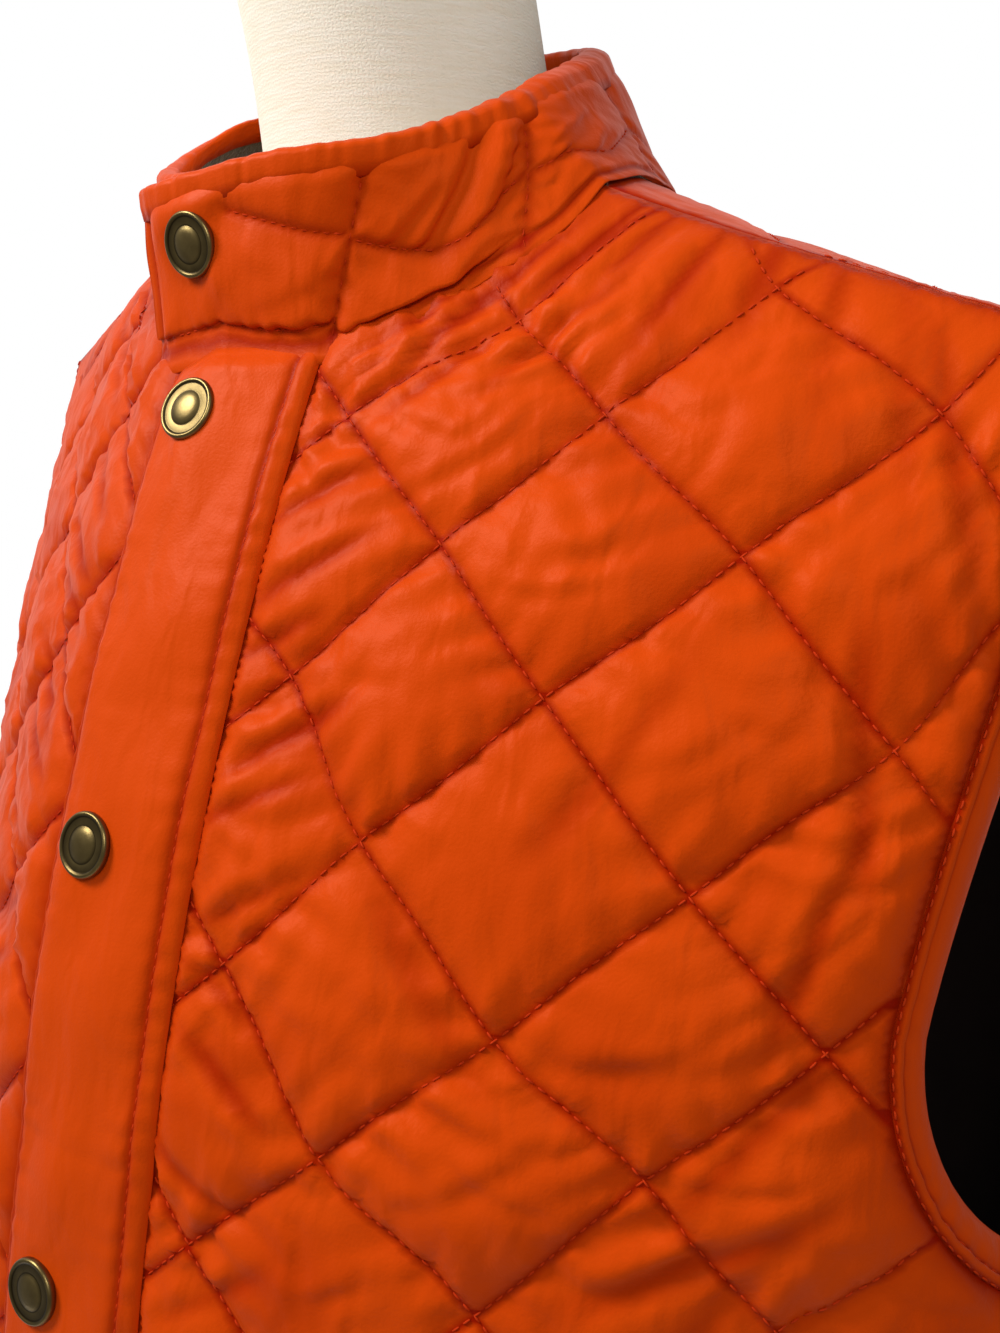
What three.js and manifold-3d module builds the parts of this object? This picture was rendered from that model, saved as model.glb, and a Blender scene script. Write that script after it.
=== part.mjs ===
// A quilted vest, snapped shut, worn by a limbless dress form on a round base.
// Millimetres, +Z up. The wearer faces -Y and the wearer's left is +X.
// The origin is the centre of the base's underside.
//
// The vest is one body surface, cut into panels. A place on it is given by p, the girth from the
// centre line of the front or back, and q, the length up from the chest line, as on a flat pattern.
import * as THREE from "three";
import { mergeVertices } from "three/addons/utils/BufferGeometryUtils.js";
import Module from "manifold-3d";

const wasm = await Module();
wasm.setup();

// Body surface of the vest, taken at its quilting grooves
const CHEST_HEIGHT = 647;
const CHEST_HALF_WIDTH = 232;
const SHOULDER_PEAK = 926; // where the two shoulder slopes would meet over the centre
const SHOULDER_SLOPE = Math.tan(THREE.MathUtils.degToRad(16.8));
const SHOULDER_LINE_Y = -8.7;
// depth: centre line to side line at the chest; section: power of the chest's oval;
// chestRound and shoulderRound: powers that shape the slope from chest to shoulder;
// flare: part of the depth that the hem gains, most of it within flareLength
const FRONT = {
  facing: -1,
  depth: 113,
  section: 1.86,
  chestRound: 1.51,
  shoulderRound: 1.51,
  flare: 0.15,
  flareLength: 90,
};
const BACK = {
  facing: 1,
  depth: 145,
  section: 2.2,
  chestRound: 0.9,
  shoulderRound: 0.6,
  flare: 0.05,
  flareLength: 160,
};

// How the form wears it: the wearer's right side is turned back, then all of it is turned on its post
const SIDE_START_X = -14;
const SIDE_TURN = THREE.MathUtils.degToRad(22);
const SIDE_SOFT = 15; // the turn sets in over about twice this
const FACING_TURN = THREE.MathUtils.degToRad(11);
const ARC_STEPS = 48;
const SEAM_TURN = 10; // the normal turns to the seam's own within this

// Cut lines
const HEM_Q = -452;
const OVAL_POWER = 2.3; // of the neckline and the collar's rim
const NECK = { halfWidth: 94, centreY: 2, frontDepth: 44, backDepth: 86, rise: 7, riseLength: 13 };
const SHOULDER_POINT_X = 222;
const ARMHOLE_LOW_Q = -9;
const ARMHOLE_DEEP_Q = 61;
const ARMHOLE_LOW_POWER = 1.9;
const ARMHOLE_HIGH_POWER = 1.3;
FRONT.armholeDepth = 64.5;
BACK.armholeDepth = 52;
const SEAM_GAP = 0.3;

// Quilting: squares on the bias, raised between their stitched lines
const QUILT_HALF_WIDTH = 37.2;
const QUILT_HALF_HEIGHT = 35.6;
const QUILT_TOP_Q = 236;
FRONT.quiltColumn = 10.8;
BACK.quiltColumn = 0;
const OUTER_STEPS = 3; // faces along one side of a square, outside and inside
const INNER_STEPS = 2;
const QUILT_RISE = 5;
const QUILT_FULLNESS = 0.6;
const WALL = 2;
const PRESSED_MARGIN = 14; // the quilting flattens this near a seam

// Placket: the left front's strip, which covers the opening
const PLACKET_FREE_P = -16;
const PLACKET_SEAM_P = 34.4;
const PLACKET_LAP = 8; // the left front runs this far under it
const RIGHT_FRONT_EDGE_P = 12;
const PLACKET_CLEAR = 0.9;
const PLACKET_THICK = 2.4;
const PLACKET_ROWS = 32;
const PLACKET_TOP_CLEAR = 11.5; // out from the neckline, where the collar's outer end begins
const PLACKET_PRESSED = 8; // the right front lies flat this far beside it

// Collar: a stand with a pile lining, its top edge bound
const RIM = {
  halfWidth: 78,
  centreY: -3,
  frontDepth: 46,
  backDepth: 78,
  height: 928,
  frontSlope: 0.49,
  backSlope: 0.36,
};
const COLLAR_OVER_END = THREE.MathUtils.degToRad(-27);
const COLLAR_UNDER_END = THREE.MathUtils.degToRad(376);
const COLLAR_THICK = 3;
const COLLAR_LIFT = 2; // clear of the panels' cut edge
const COLLAR_LAP = 9.4; // the over end lies this far outside the under end
const COLLAR_DEPTH = 3.6; // from its middle in to its lining's face
const COLLAR_LAP_FULL = THREE.MathUtils.degToRad(26);
const COLLAR_LAP_GONE = THREE.MathUtils.degToRad(75);
const COLLAR_PUFF = 1.6;
const COLLAR_SEAMS = 9; // stitched sections round the collar
const COLLAR_STATIONS = 44;
const COLLAR_ROWS = 3;
const LINING_THICK = 1.2;
const BINDING_THICK = 1;
const BINDING_DROP = 8;
const BINDING_CLEAR = 0.9; // off the collar's two faces

// Armhole binding
const BAND_WIDTH = 13;
const BAND_TURN = THREE.MathUtils.degToRad(45);
const BAND_HALF_THICK = 1.6;
const BAND_GAP = 2.4; // clear of the panel's cut edge, which is made of straight stretches
const BAND_STATIONS = 9; // on each of the four stretches of an armhole

// Snaps
const SNAP_RADIUS = 9;
const SNAP_HEIGHT = 3.4;
const SNAP_SIDES = 12;
const SNAP_TOP_Q = 198.5;
const SNAP_SPACING = 119.3;
const PLACKET_SNAPS = 6;
const COLLAR_SNAP_ANGLE = THREE.MathUtils.degToRad(-5);
const COLLAR_SNAP_LEVEL = 0.46;
const SNAP_CLEAR = 0.35;

// Dress form, post and base
const FORM_CLEAR = 1.7; // below the vest's outer face at the shoulder line
const FORM_HALF_WIDTH = 168;
const FORM_FRONT_DEPTH = 88;
const FORM_BACK_DEPTH = 112;
const FORM_BOTTOM = 150;
const SHOULDER_END_DROP = 46;
const SHOULDER_END_POWER = 14;
const FORM_COLUMNS = 18;
const FORM_SLOPE_ROWS = 8;
// Girth of the form below the chest, as parts of its chest width and depth
const FORM_GIRTHS = [
  { height: 150, width: 0.97, depth: 1.06 },
  { height: 250, width: 0.98, depth: 1.08 },
  { height: 340, width: 0.92, depth: 0.99 },
  { height: 430, width: 0.84, depth: 0.9 },
  { height: 540, width: 0.92, depth: 0.96 },
  { height: 647, width: 1, depth: 1 },
];
// The form's neck, which leans forward: its sections from the shoulders up
const NECK_SECTIONS = [
  { height: 850, y: 36, radius: 50 },
  { height: 905, y: 33, radius: 47 },
  { height: 945, y: 23, radius: 45.5 },
  { height: 1012, y: -1, radius: 45 },
  { height: 1016, y: -2.5, radius: 42 },
];
const NECK_SIDES = 24;
const POST_RADIUS = 16;
const BASE_RADIUS = 160;
const BASE_THICK = 16;
const BASE_EDGE = 3;
const ROUND_SIDES = 32;

const vest = new THREE.MeshStandardMaterial({ color: 0xdc4b1a, roughness: 0.62, metalness: 0 });
const pile = new THREE.MeshStandardMaterial({ color: 0x5a4a30, roughness: 0.95, metalness: 0 });
const brass = new THREE.MeshStandardMaterial({ color: 0x8a7a4e, roughness: 0.42, metalness: 0.9 });
const linen = new THREE.MeshStandardMaterial({ color: 0xe9dcc3, roughness: 0.9, metalness: 0 });
const steel = new THREE.MeshStandardMaterial({ color: 0xd8d6d0, roughness: 0.35, metalness: 0.8 });

// The one body surface

function ease(t) {
  const s = THREE.MathUtils.clamp(t, 0, 1);
  return s * s * (3 - 2 * s);
}

// Half width and depth of the chest's oval at an angle from the centre line
function sectionAt(cut, angle) {
  return {
    x: CHEST_HALF_WIDTH * Math.sin(angle) ** (2 / cut.section),
    y: cut.depth * Math.cos(angle) ** (2 / cut.section),
  };
}

// Girth along the chest's oval, as a table that widthAt reads
function measureGirth(cut) {
  const rows = [{ girth: 0, x: 0 }];
  let last = sectionAt(cut, 0);
  for (let i = 1; i <= 8 * ARC_STEPS; i++) {
    const next = sectionAt(cut, (i / (8 * ARC_STEPS)) * (Math.PI / 2));
    const girth = rows[i - 1].girth + Math.hypot(next.x - last.x, next.y - last.y);
    rows.push({ girth, x: next.x });
    last = next;
  }
  return rows;
}
FRONT.girths = measureGirth(FRONT);
BACK.girths = measureGirth(BACK);
FRONT.sideP = FRONT.girths.at(-1).girth;
BACK.sideP = BACK.girths.at(-1).girth;

function interpolate(rows, from, to, value) {
  let i = 1;
  while (i < rows.length - 1 && rows[i][from] < value) i++;
  const t = (value - rows[i - 1][from]) / (rows[i][from] - rows[i - 1][from]);
  return THREE.MathUtils.lerp(rows[i - 1][to], rows[i][to], THREE.MathUtils.clamp(t, 0, 1));
}

function widthAt(cut, p) {
  return interpolate(cut.girths, "girth", "x", Math.min(Math.abs(p), cut.sideP));
}

function girthAt(cut, x) {
  return interpolate(cut.girths, "x", "girth", x);
}

function chestY(cut, x) {
  const part = Math.max(0, 1 - (x / CHEST_HALF_WIDTH) ** cut.section);
  return cut.facing * cut.depth * part ** (1 / cut.section);
}

function slopeHeight(x) {
  return SHOULDER_PEAK - SHOULDER_SLOPE * x - CHEST_HEIGHT;
}

// A point of the slope from chest to shoulder, at a turn from 0 to a right angle
function slopePoint(cut, x, turn) {
  const out = chestY(cut, x) - SHOULDER_LINE_Y;
  return {
    y: SHOULDER_LINE_Y + out * Math.max(0, Math.cos(turn)) ** cut.shoulderRound,
    z: slopeHeight(x) * Math.sin(turn) ** cut.chestRound,
  };
}

// Walks up the slope at one width, to a length or to the shoulder line
function walkSlope(cut, x, length) {
  let gone = 0;
  let last = slopePoint(cut, x, 0);
  for (let i = 1; i <= ARC_STEPS; i++) {
    const next = slopePoint(cut, x, (i / ARC_STEPS) * (Math.PI / 2));
    const step = Math.hypot(next.y - last.y, next.z - last.z);
    if (gone + step >= length) {
      const t = (length - gone) / step;
      return {
        y: THREE.MathUtils.lerp(last.y, next.y, t),
        z: THREE.MathUtils.lerp(last.z, next.z, t),
        length,
      };
    }
    gone += step;
    last = next;
  }
  return { ...last, length: gone };
}

function shoulderQ(cut, p) {
  return walkSlope(cut, widthAt(cut, p), Infinity).length;
}

// An oval with its own depth in front of and behind its centre
function depthOf(oval, forward) {
  return forward ? oval.frontDepth : oval.backDepth;
}

function ovalPoint(oval, angle, out) {
  const across = Math.abs(Math.sin(angle) / (oval.halfWidth + out)) ** OVAL_POWER;
  const along = Math.abs(Math.cos(angle) / (depthOf(oval, Math.cos(angle) > 0) + out)) ** OVAL_POWER;
  const radius = (across + along) ** (-1 / OVAL_POWER);
  return { x: radius * Math.sin(angle), y: oval.centreY - radius * Math.cos(angle) };
}

// How far out from the neckline's oval a plan place is, in oval radii: 1 is on it
function neckReach(x, y) {
  const across = Math.abs(x / NECK.halfWidth) ** OVAL_POWER;
  const along = Math.abs((y - NECK.centreY) / depthOf(NECK, y < NECK.centreY)) ** OVAL_POWER;
  return (across + along) ** (1 / OVAL_POWER);
}

// The cloth turns up towards the collar at the sides and the back
function neckRise(x, y) {
  const away = Math.max(0, neckReach(x, y) - 1) * NECK.frontDepth;
  const side = ease(((y - NECK.centreY) / NECK.frontDepth + 0.6) / 0.9);
  return NECK.rise * side * Math.exp(-away / NECK.riseLength);
}

function shellPoint(cut, p, q) {
  const x = widthAt(cut, p);
  let y = chestY(cut, x) * (1 + cut.flare * (1 - Math.exp(Math.min(q, 0) / cut.flareLength)));
  let z = CHEST_HEIGHT + q;
  if (q > 0) {
    const place = walkSlope(cut, x, q);
    y = place.y;
    z = CHEST_HEIGHT + place.z;
  }
  return new THREE.Vector3(-cut.facing * Math.sign(p) * x, y, z + neckRise(x, y));
}

function shellNormal(cut, p, q) {
  const step = 0.8;
  const right = Math.min(p + step, cut.sideP);
  const left = Math.max(p - step, -cut.sideP);
  const top = Math.min(q + step, shoulderQ(cut, p) - 0.01);
  const along = shellPoint(cut, right, top - step).sub(shellPoint(cut, left, top - step));
  const up = shellPoint(cut, p, top).sub(shellPoint(cut, p, top - 2 * step));
  const normal = along.cross(up).normalize();
  const toSeam = Math.min(shoulderQ(cut, p) - q, cut.sideP - Math.abs(p));
  normal.y *= ease((toSeam - 2 * step) / SEAM_TURN); // front and back share one normal at their seams
  return normal.normalize();
}

// A point of the surface, moved out along its normal
function raised(cut, p, q, out) {
  return shellPoint(cut, p, q).addScaledVector(shellNormal(cut, p, q), out);
}

// Cut lines: each gives the distance inside the line, in millimetres

function insideNeck(cut, p, q) {
  const place = shellPoint(cut, p, q);
  return (neckReach(place.x, place.y) - 1) * NECK.frontDepth;
}

function insideShoulder(cut, p, q) {
  return shoulderQ(cut, p) - q;
}

function armholeDeepP(cut) {
  return cut.sideP - cut.armholeDepth;
}

// Girth of the armhole's edge above its deepest place
function armholeP(cut, q) {
  const shoulderP = girthAt(cut, SHOULDER_POINT_X);
  const rise = Math.max(0, q - ARMHOLE_DEEP_Q) / (shoulderQ(cut, shoulderP) - ARMHOLE_DEEP_Q);
  return armholeDeepP(cut) + (shoulderP - armholeDeepP(cut)) * rise ** ARMHOLE_HIGH_POWER;
}

function insideArmhole(cut, p, q) {
  if (q >= ARMHOLE_DEEP_Q) return armholeP(cut, q) - Math.abs(p);
  const across = Math.max(0, cut.sideP - Math.abs(p)) / cut.armholeDepth;
  const down = (ARMHOLE_DEEP_Q - q) / (ARMHOLE_DEEP_Q - ARMHOLE_LOW_Q);
  const reach = (across ** ARMHOLE_LOW_POWER + down ** ARMHOLE_LOW_POWER) ** (1 / ARMHOLE_LOW_POWER);
  return (reach - 1) * cut.armholeDepth;
}

function insideSide(cut, p) {
  return cut.sideP - Math.abs(p);
}

function insideHem(cut, p, q) {
  return q - HEM_Q;
}

// Solids

function meshOf(name, geometry, material) {
  const mesh = new THREE.Mesh(geometry, material);
  mesh.name = name;
  return mesh;
}

function geometryOf(points, faces) {
  const geometry = new THREE.BufferGeometry();
  geometry.setAttribute("position", new THREE.Float32BufferAttribute(points.flatMap((v) => v.toArray()), 3));
  geometry.setIndex(faces.flat());
  geometry.computeVertexNormals();
  return geometry;
}

// The edges that one face alone has, in the order in which they run round a skin
function rimOf(faces) {
  const next = new Map();
  const sides = new Set();
  for (const [a, b, c] of faces) for (const [from, to] of [[a, b], [b, c], [c, a]]) sides.add(from + "," + to);
  for (const side of sides) {
    const [from, to] = side.split(",").map(Number);
    if (!sides.has(to + "," + from)) next.set(from, to);
  }
  const rim = [next.keys().next().value];
  while (next.get(rim.at(-1)) !== rim[0]) rim.push(next.get(rim.at(-1)));
  return rim;
}

// A wall between two skins. flat holds each skin's places on the pattern, which pair up the two rims
function wallBetween(outer, inner) {
  const shift = outer.points.length;
  const rim = rimOf(outer.faces);
  const innerRim = rimOf(inner.faces);
  const apart = (i, j) => {
    const a = outer.flat[rim[i % rim.length]];
    const b = inner.flat[innerRim[j % innerRim.length]];
    return Math.hypot(a.p - b.p, a.q - b.q);
  };
  let start = 0;
  for (let j = 0; j < innerRim.length; j++) if (apart(0, j) < apart(0, start)) start = j;
  const faces = outer.faces.concat(inner.faces.map(([a, b, c]) => [a + shift, c + shift, b + shift]));
  let i = 0;
  let j = 0;
  while (i < rim.length || j < innerRim.length) {
    const here = rim[i % rim.length];
    const there = innerRim[(start + j) % innerRim.length] + shift;
    const outerIsNext = j === innerRim.length || (i < rim.length && apart(i + 1, start + j) <= apart(i, start + j + 1));
    if (outerIsNext) {
      i++;
      faces.push([rim[i % rim.length], here, there]);
    } else {
      j++;
      faces.push([here, there, innerRim[(start + j) % innerRim.length] + shift]);
    }
  }
  return geometryOf(outer.points.concat(inner.points), faces);
}

// A wall on a grid of columns and rows; outerAt and innerAt give its two skins
function gridWall(columns, rows, outerAt, innerAt) {
  const outer = [];
  const inner = [];
  const flat = [];
  const faces = [];
  for (let i = 0; i <= columns; i++)
    for (let j = 0; j <= rows; j++) {
      outer.push(outerAt(i / columns, j / rows));
      inner.push(innerAt(i / columns, j / rows));
      flat.push({ p: i, q: j });
    }
  for (let i = 0; i < columns; i++)
    for (let j = 0; j < rows; j++) {
      const a = i * (rows + 1) + j;
      const b = a + rows + 1;
      faces.push([a, b, b + 1], [a, b + 1, a + 1]);
    }
  return wallBetween({ points: outer, flat, faces }, { points: inner, flat, faces });
}

// A closed section carried through stations; ring closes the run on itself
function sweep(sections, ring) {
  const count = sections[0].length;
  const faces = [];
  const last = ring ? sections.length : sections.length - 1;
  for (let i = 0; i < last; i++)
    for (let j = 0; j < count; j++) {
      const a = i * count + j;
      const b = i * count + ((j + 1) % count);
      const c = ((i + 1) % sections.length) * count + ((j + 1) % count);
      const d = ((i + 1) % sections.length) * count + j;
      faces.push([a, b, c], [a, c, d]);
    }
  return { points: sections.flat(), faces, count };
}

// Quilted panels

// Keeps the part of a polygon that lies inside a cut line
function clip(polygon, inside) {
  const sized = polygon.map((place) => {
    const value = inside(place.p, place.q);
    return { ...place, value: Math.abs(value) < 0.05 ? 0 : value };
  });
  if (!sized.some((place) => place.value > 0)) return [];
  const kept = [];
  sized.forEach((here, i) => {
    const next = sized[(i + 1) % sized.length];
    if (here.value >= 0) kept.push({ p: here.p, q: here.q });
    if (here.value * next.value < 0) kept.push(crossing(here, next, inside));
  });
  return kept;
}

// Where a cut line crosses an edge; the ends are ordered so that both faces find one point
function crossing(one, other, inside) {
  let [low, high] = one.value < other.value ? [one, other] : [other, one];
  for (let i = 0; i < 24; i++) {
    const middle = { p: (low.p + high.p) / 2, q: (low.q + high.q) / 2 };
    if (inside(middle.p, middle.q) < 0) low = middle;
    else high = middle;
  }
  return { p: high.p, q: high.q };
}

// Moves a place that lies close to a cut line onto it, so that no sliver is cut there
function settle(place, cutLines) {
  const near = 3.2;
  const step = 0.5;
  for (const inside of cutLines) {
    const value = inside(place.p, place.q);
    if (Math.abs(value) >= near) continue;
    const slopeP = (inside(place.p + step, place.q) - inside(place.p - step, place.q)) / (2 * step);
    const slopeQ = (inside(place.p, place.q + step) - inside(place.p, place.q - step)) / (2 * step);
    const steep = slopeP ** 2 + slopeQ ** 2;
    place = { p: place.p - (value * slopeP) / steep, q: place.q - (value * slopeQ) / steep };
  }
  return place;
}

// The quilting's own coordinates: stitched lines lie at whole numbers of down and across
function quiltPlace(column, down, across) {
  return {
    p: column + QUILT_HALF_WIDTH * (across - down),
    q: QUILT_TOP_Q - QUILT_HALF_HEIGHT * (across + down),
  };
}

function quiltRise(down, across) {
  return QUILT_RISE * Math.abs(Math.sin(Math.PI * down) * Math.sin(Math.PI * across)) ** QUILT_FULLNESS;
}

// The flat mesh of a panel: the squares, each cut into steps, within the cut lines
function flatPanel(cut, column, cutLines, steps) {
  const reach = Math.ceil(cut.sideP / QUILT_HALF_WIDTH / 2 + 12) * steps;
  const places = new Map();
  const corner = (i, j) => {
    const key = i + "," + j;
    if (!places.has(key)) {
      places.set(key, settle(quiltPlace(column, i / steps, j / steps), cutLines));
    }
    return places.get(key);
  };
  const flat = [];
  const index = new Map();
  const faces = [];
  const pointIndex = (place) => {
    const key = place.p.toFixed(4) + "," + place.q.toFixed(4);
    if (!index.has(key)) {
      index.set(key, flat.length);
      flat.push(place);
    }
    return index.get(key);
  };
  for (let i = -reach; i < reach; i++)
    for (let j = -reach; j < reach; j++) {
      const middle = quiltPlace(column, i / steps, j / steps);
      const tooFar = Math.abs(middle.p) > cut.sideP + 40 || middle.q > 330 || middle.q < HEM_Q - 40;
      if (tooFar) continue;
      const square = [corner(i, j), corner(i, j + 1), corner(i + 1, j + 1), corner(i + 1, j)];
      for (const order of [[0, 2, 1], [0, 3, 2]]) {
        let polygon = order.map((k) => square[k]);
        for (const inside of cutLines) polygon = polygon.length ? clip(polygon, inside) : polygon;
        const ring = polygon.map(pointIndex).filter((n, k, all) => n !== all[(k + 1) % all.length]);
        for (let k = 1; k < ring.length - 1; k++) faces.push([ring[0], ring[k], ring[k + 1]]);
      }
    }
  return { flat, faces };
}

// cutLines bound the panel; pressed gives the distance from the places where it is sewn flat
function quiltedPanel(cut, column, cutLines, pressed) {
  const outer = flatPanel(cut, column, cutLines, OUTER_STEPS);
  outer.points = outer.flat.map(({ p, q }) => {
    const across = ((p - column) / QUILT_HALF_WIDTH + (QUILT_TOP_Q - q) / QUILT_HALF_HEIGHT) / 2;
    const down = ((QUILT_TOP_Q - q) / QUILT_HALF_HEIGHT - (p - column) / QUILT_HALF_WIDTH) / 2;
    return raised(cut, p, q, quiltRise(down, across) * ease(pressed(p, q) / PRESSED_MARGIN));
  });
  const inner = flatPanel(cut, column, cutLines, INNER_STEPS);
  inner.points = inner.flat.map(({ p, q }) => raised(cut, p, q, -WALL));
  return wallBetween(outer, inner);
}

function panelLines(cut) {
  return [
    (p, q) => insideNeck(cut, p, q),
    (p, q) => insideShoulder(cut, p, q) - SEAM_GAP / 2,
    (p, q) => insideArmhole(cut, p, q),
    (p) => insideSide(cut, p) - SEAM_GAP / 2,
    (p, q) => insideHem(cut, p, q),
  ];
}

function nearestEdge(cut, p, q) {
  return Math.min(...panelLines(cut).map((inside) => inside(p, q)));
}

function leftFront() {
  const edge = PLACKET_SEAM_P - PLACKET_LAP;
  const lines = panelLines(FRONT).concat((p) => p - edge);
  const pressed = (p, q) => Math.min(nearestEdge(FRONT, p, q), p - PLACKET_SEAM_P - 1);
  return quiltedPanel(FRONT, FRONT.quiltColumn, lines, pressed);
}

function rightFront() {
  const lines = panelLines(FRONT).concat((p) => RIGHT_FRONT_EDGE_P - p);
  const pressed = (p, q) => Math.min(nearestEdge(FRONT, p, q), PLACKET_FREE_P - PLACKET_PRESSED - p);
  return quiltedPanel(FRONT, -FRONT.quiltColumn, lines, pressed);
}

function back() {
  return quiltedPanel(BACK, BACK.quiltColumn, panelLines(BACK), (p, q) => nearestEdge(BACK, p, q));
}

// Placket

// Length up from the chest to a distance outside the neckline
function neckQ(p, out) {
  let low = 100;
  let high = shoulderQ(FRONT, p);
  for (let i = 0; i < 30; i++) {
    const middle = (low + high) / 2;
    if (insideNeck(FRONT, p, middle) > out) low = middle;
    else high = middle;
  }
  return low;
}

function placketPoint(across, up, out) {
  const p = THREE.MathUtils.lerp(PLACKET_FREE_P, PLACKET_SEAM_P, across);
  const q = THREE.MathUtils.lerp(HEM_Q, neckQ(p, PLACKET_TOP_CLEAR), up);
  return raised(FRONT, p, q, out);
}

function placket() {
  const edgeLines = [0, 0.06, 0.45, 0.84, 1];
  const crown = [0.7, 1, 1.25, 1, 0.8];
  const column = (across) => Math.round(across * (edgeLines.length - 1));
  return gridWall(
    edgeLines.length - 1,
    PLACKET_ROWS,
    (across, up) => {
      const i = column(across);
      return placketPoint(edgeLines[i], up, PLACKET_CLEAR + PLACKET_THICK * crown[i]);
    },
    (across, up) => placketPoint(edgeLines[column(across)], up, PLACKET_CLEAR),
  );
}

// Collar

// Height of the body surface under a plan place
function shellHeight(x, y) {
  const cut = y < SHOULDER_LINE_Y ? FRONT : BACK;
  const part = (y - SHOULDER_LINE_Y) / (chestY(cut, Math.abs(x)) - SHOULDER_LINE_Y);
  const turn = Math.acos(THREE.MathUtils.clamp(part, 0, 1) ** (1 / cut.shoulderRound));
  return CHEST_HEIGHT + slopePoint(cut, Math.abs(x), turn).z + neckRise(x, y);
}

// How much of the lap the collar has at an angle: whole at the over end, none past the side front
function lapAt(angle) {
  return 1 - ease((angle - COLLAR_LAP_FULL) / (COLLAR_LAP_GONE - COLLAR_LAP_FULL));
}

function collarBase(angle, out) {
  const lap = COLLAR_LAP * lapAt(angle);
  const place = ovalPoint(NECK, angle, out + lap);
  const seam = ovalPoint(NECK, angle, Math.max(0, lap - COLLAR_DEPTH));
  return new THREE.Vector3(place.x, place.y, shellHeight(seam.x, seam.y) + COLLAR_LIFT);
}

function collarRim(angle, out) {
  const place = ovalPoint(RIM, angle, out + COLLAR_LAP * lapAt(angle));
  const { y } = ovalPoint(RIM, angle, 0);
  return new THREE.Vector3(place.x, place.y, RIM.height + y * (y < 0 ? RIM.frontSlope : RIM.backSlope));
}

// level runs from 0 at the neck seam to 1 at the rim
function collarPoint(angle, level, out) {
  return collarBase(angle, out).lerp(collarRim(angle, out), level);
}

function collarAngle(along) {
  return THREE.MathUtils.lerp(COLLAR_OVER_END, COLLAR_UNDER_END, along);
}

// The padding between the stitched lines, gone where the binding grips
function collarPuff(along, level) {
  const between = Math.abs(Math.sin(Math.PI * COLLAR_SEAMS * along)) ** 0.5;
  return COLLAR_PUFF * between * Math.sin(Math.PI * Math.min(1, level / 0.66));
}

function collar() {
  const half = COLLAR_THICK / 2;
  return gridWall(
    COLLAR_STATIONS,
    COLLAR_ROWS,
    (along, level) => collarPoint(collarAngle(along), level, half + collarPuff(along, level)),
    (along, level) => collarPoint(collarAngle(along), level, -half),
  );
}

function collarLining() {
  const face = -COLLAR_THICK / 2 - SEAM_GAP;
  return gridWall(
    COLLAR_STATIONS,
    COLLAR_ROWS,
    (along, level) => collarPoint(collarAngle(along), level, face),
    (along, level) => collarPoint(collarAngle(along), level, face - LINING_THICK),
  );
}

// The binding's section is an upturned U, given by its reach out of the collar and its drop from the rim
function bindingSection(angle) {
  const outside = COLLAR_THICK / 2 + BINDING_CLEAR;
  const inside = -COLLAR_THICK / 2 - SEAM_GAP - LINING_THICK - BINDING_CLEAR;
  const rows = [
    { out: outside + BINDING_THICK, drop: BINDING_DROP },
    { out: outside + 1.6 * BINDING_THICK, drop: BINDING_DROP / 2 },
    { out: outside + 0.6 * BINDING_THICK, drop: -BINDING_THICK },
    { out: inside - 0.6 * BINDING_THICK, drop: -1.5 * BINDING_THICK },
    { out: inside - BINDING_THICK, drop: BINDING_DROP },
    { out: inside, drop: BINDING_DROP },
    { out: inside, drop: -SEAM_GAP },
    { out: outside, drop: -SEAM_GAP },
    { out: outside, drop: BINDING_DROP },
  ];
  return rows.map(({ out, drop }) => {
    const top = collarRim(angle, out);
    const down = collarBase(angle, out).sub(top).normalize();
    return top.addScaledVector(down, drop);
  });
}

function collarBinding() {
  const sections = [];
  for (let i = 0; i <= COLLAR_STATIONS; i++) sections.push(bindingSection(collarAngle(i / COLLAR_STATIONS)));
  const { points, faces, count } = sweep(sections, false);
  const end = (first, flip) => {
    const strip = [[0, 1, 8], [1, 7, 8], [1, 2, 7], [2, 3, 7], [3, 6, 7], [3, 4, 6], [4, 5, 6]];
    for (const [a, b, c] of strip) {
      faces.push(flip ? [first + a, first + c, first + b] : [first + a, first + b, first + c]);
    }
  };
  end(0, true);
  end(COLLAR_STATIONS * count, false);
  return outward(geometryOf(points, faces));
}

// Turns a closed geometry right side out
function outward(geometry) {
  const at = geometry.getAttribute("position");
  const index = geometry.getIndex();
  const [a, b, c] = [new THREE.Vector3(), new THREE.Vector3(), new THREE.Vector3()];
  let volume = 0;
  for (let i = 0; i < index.count; i += 3) {
    a.fromBufferAttribute(at, index.getX(i));
    b.fromBufferAttribute(at, index.getX(i + 1));
    c.fromBufferAttribute(at, index.getX(i + 2));
    volume += a.dot(b.cross(c));
  }
  if (volume < 0)
    for (let i = 0; i < index.count; i += 3) {
      const second = index.getX(i + 1);
      index.setX(i + 1, index.getX(i + 2));
      index.setX(i + 2, second);
    }
  return geometry;
}

// Armhole bindings

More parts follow.
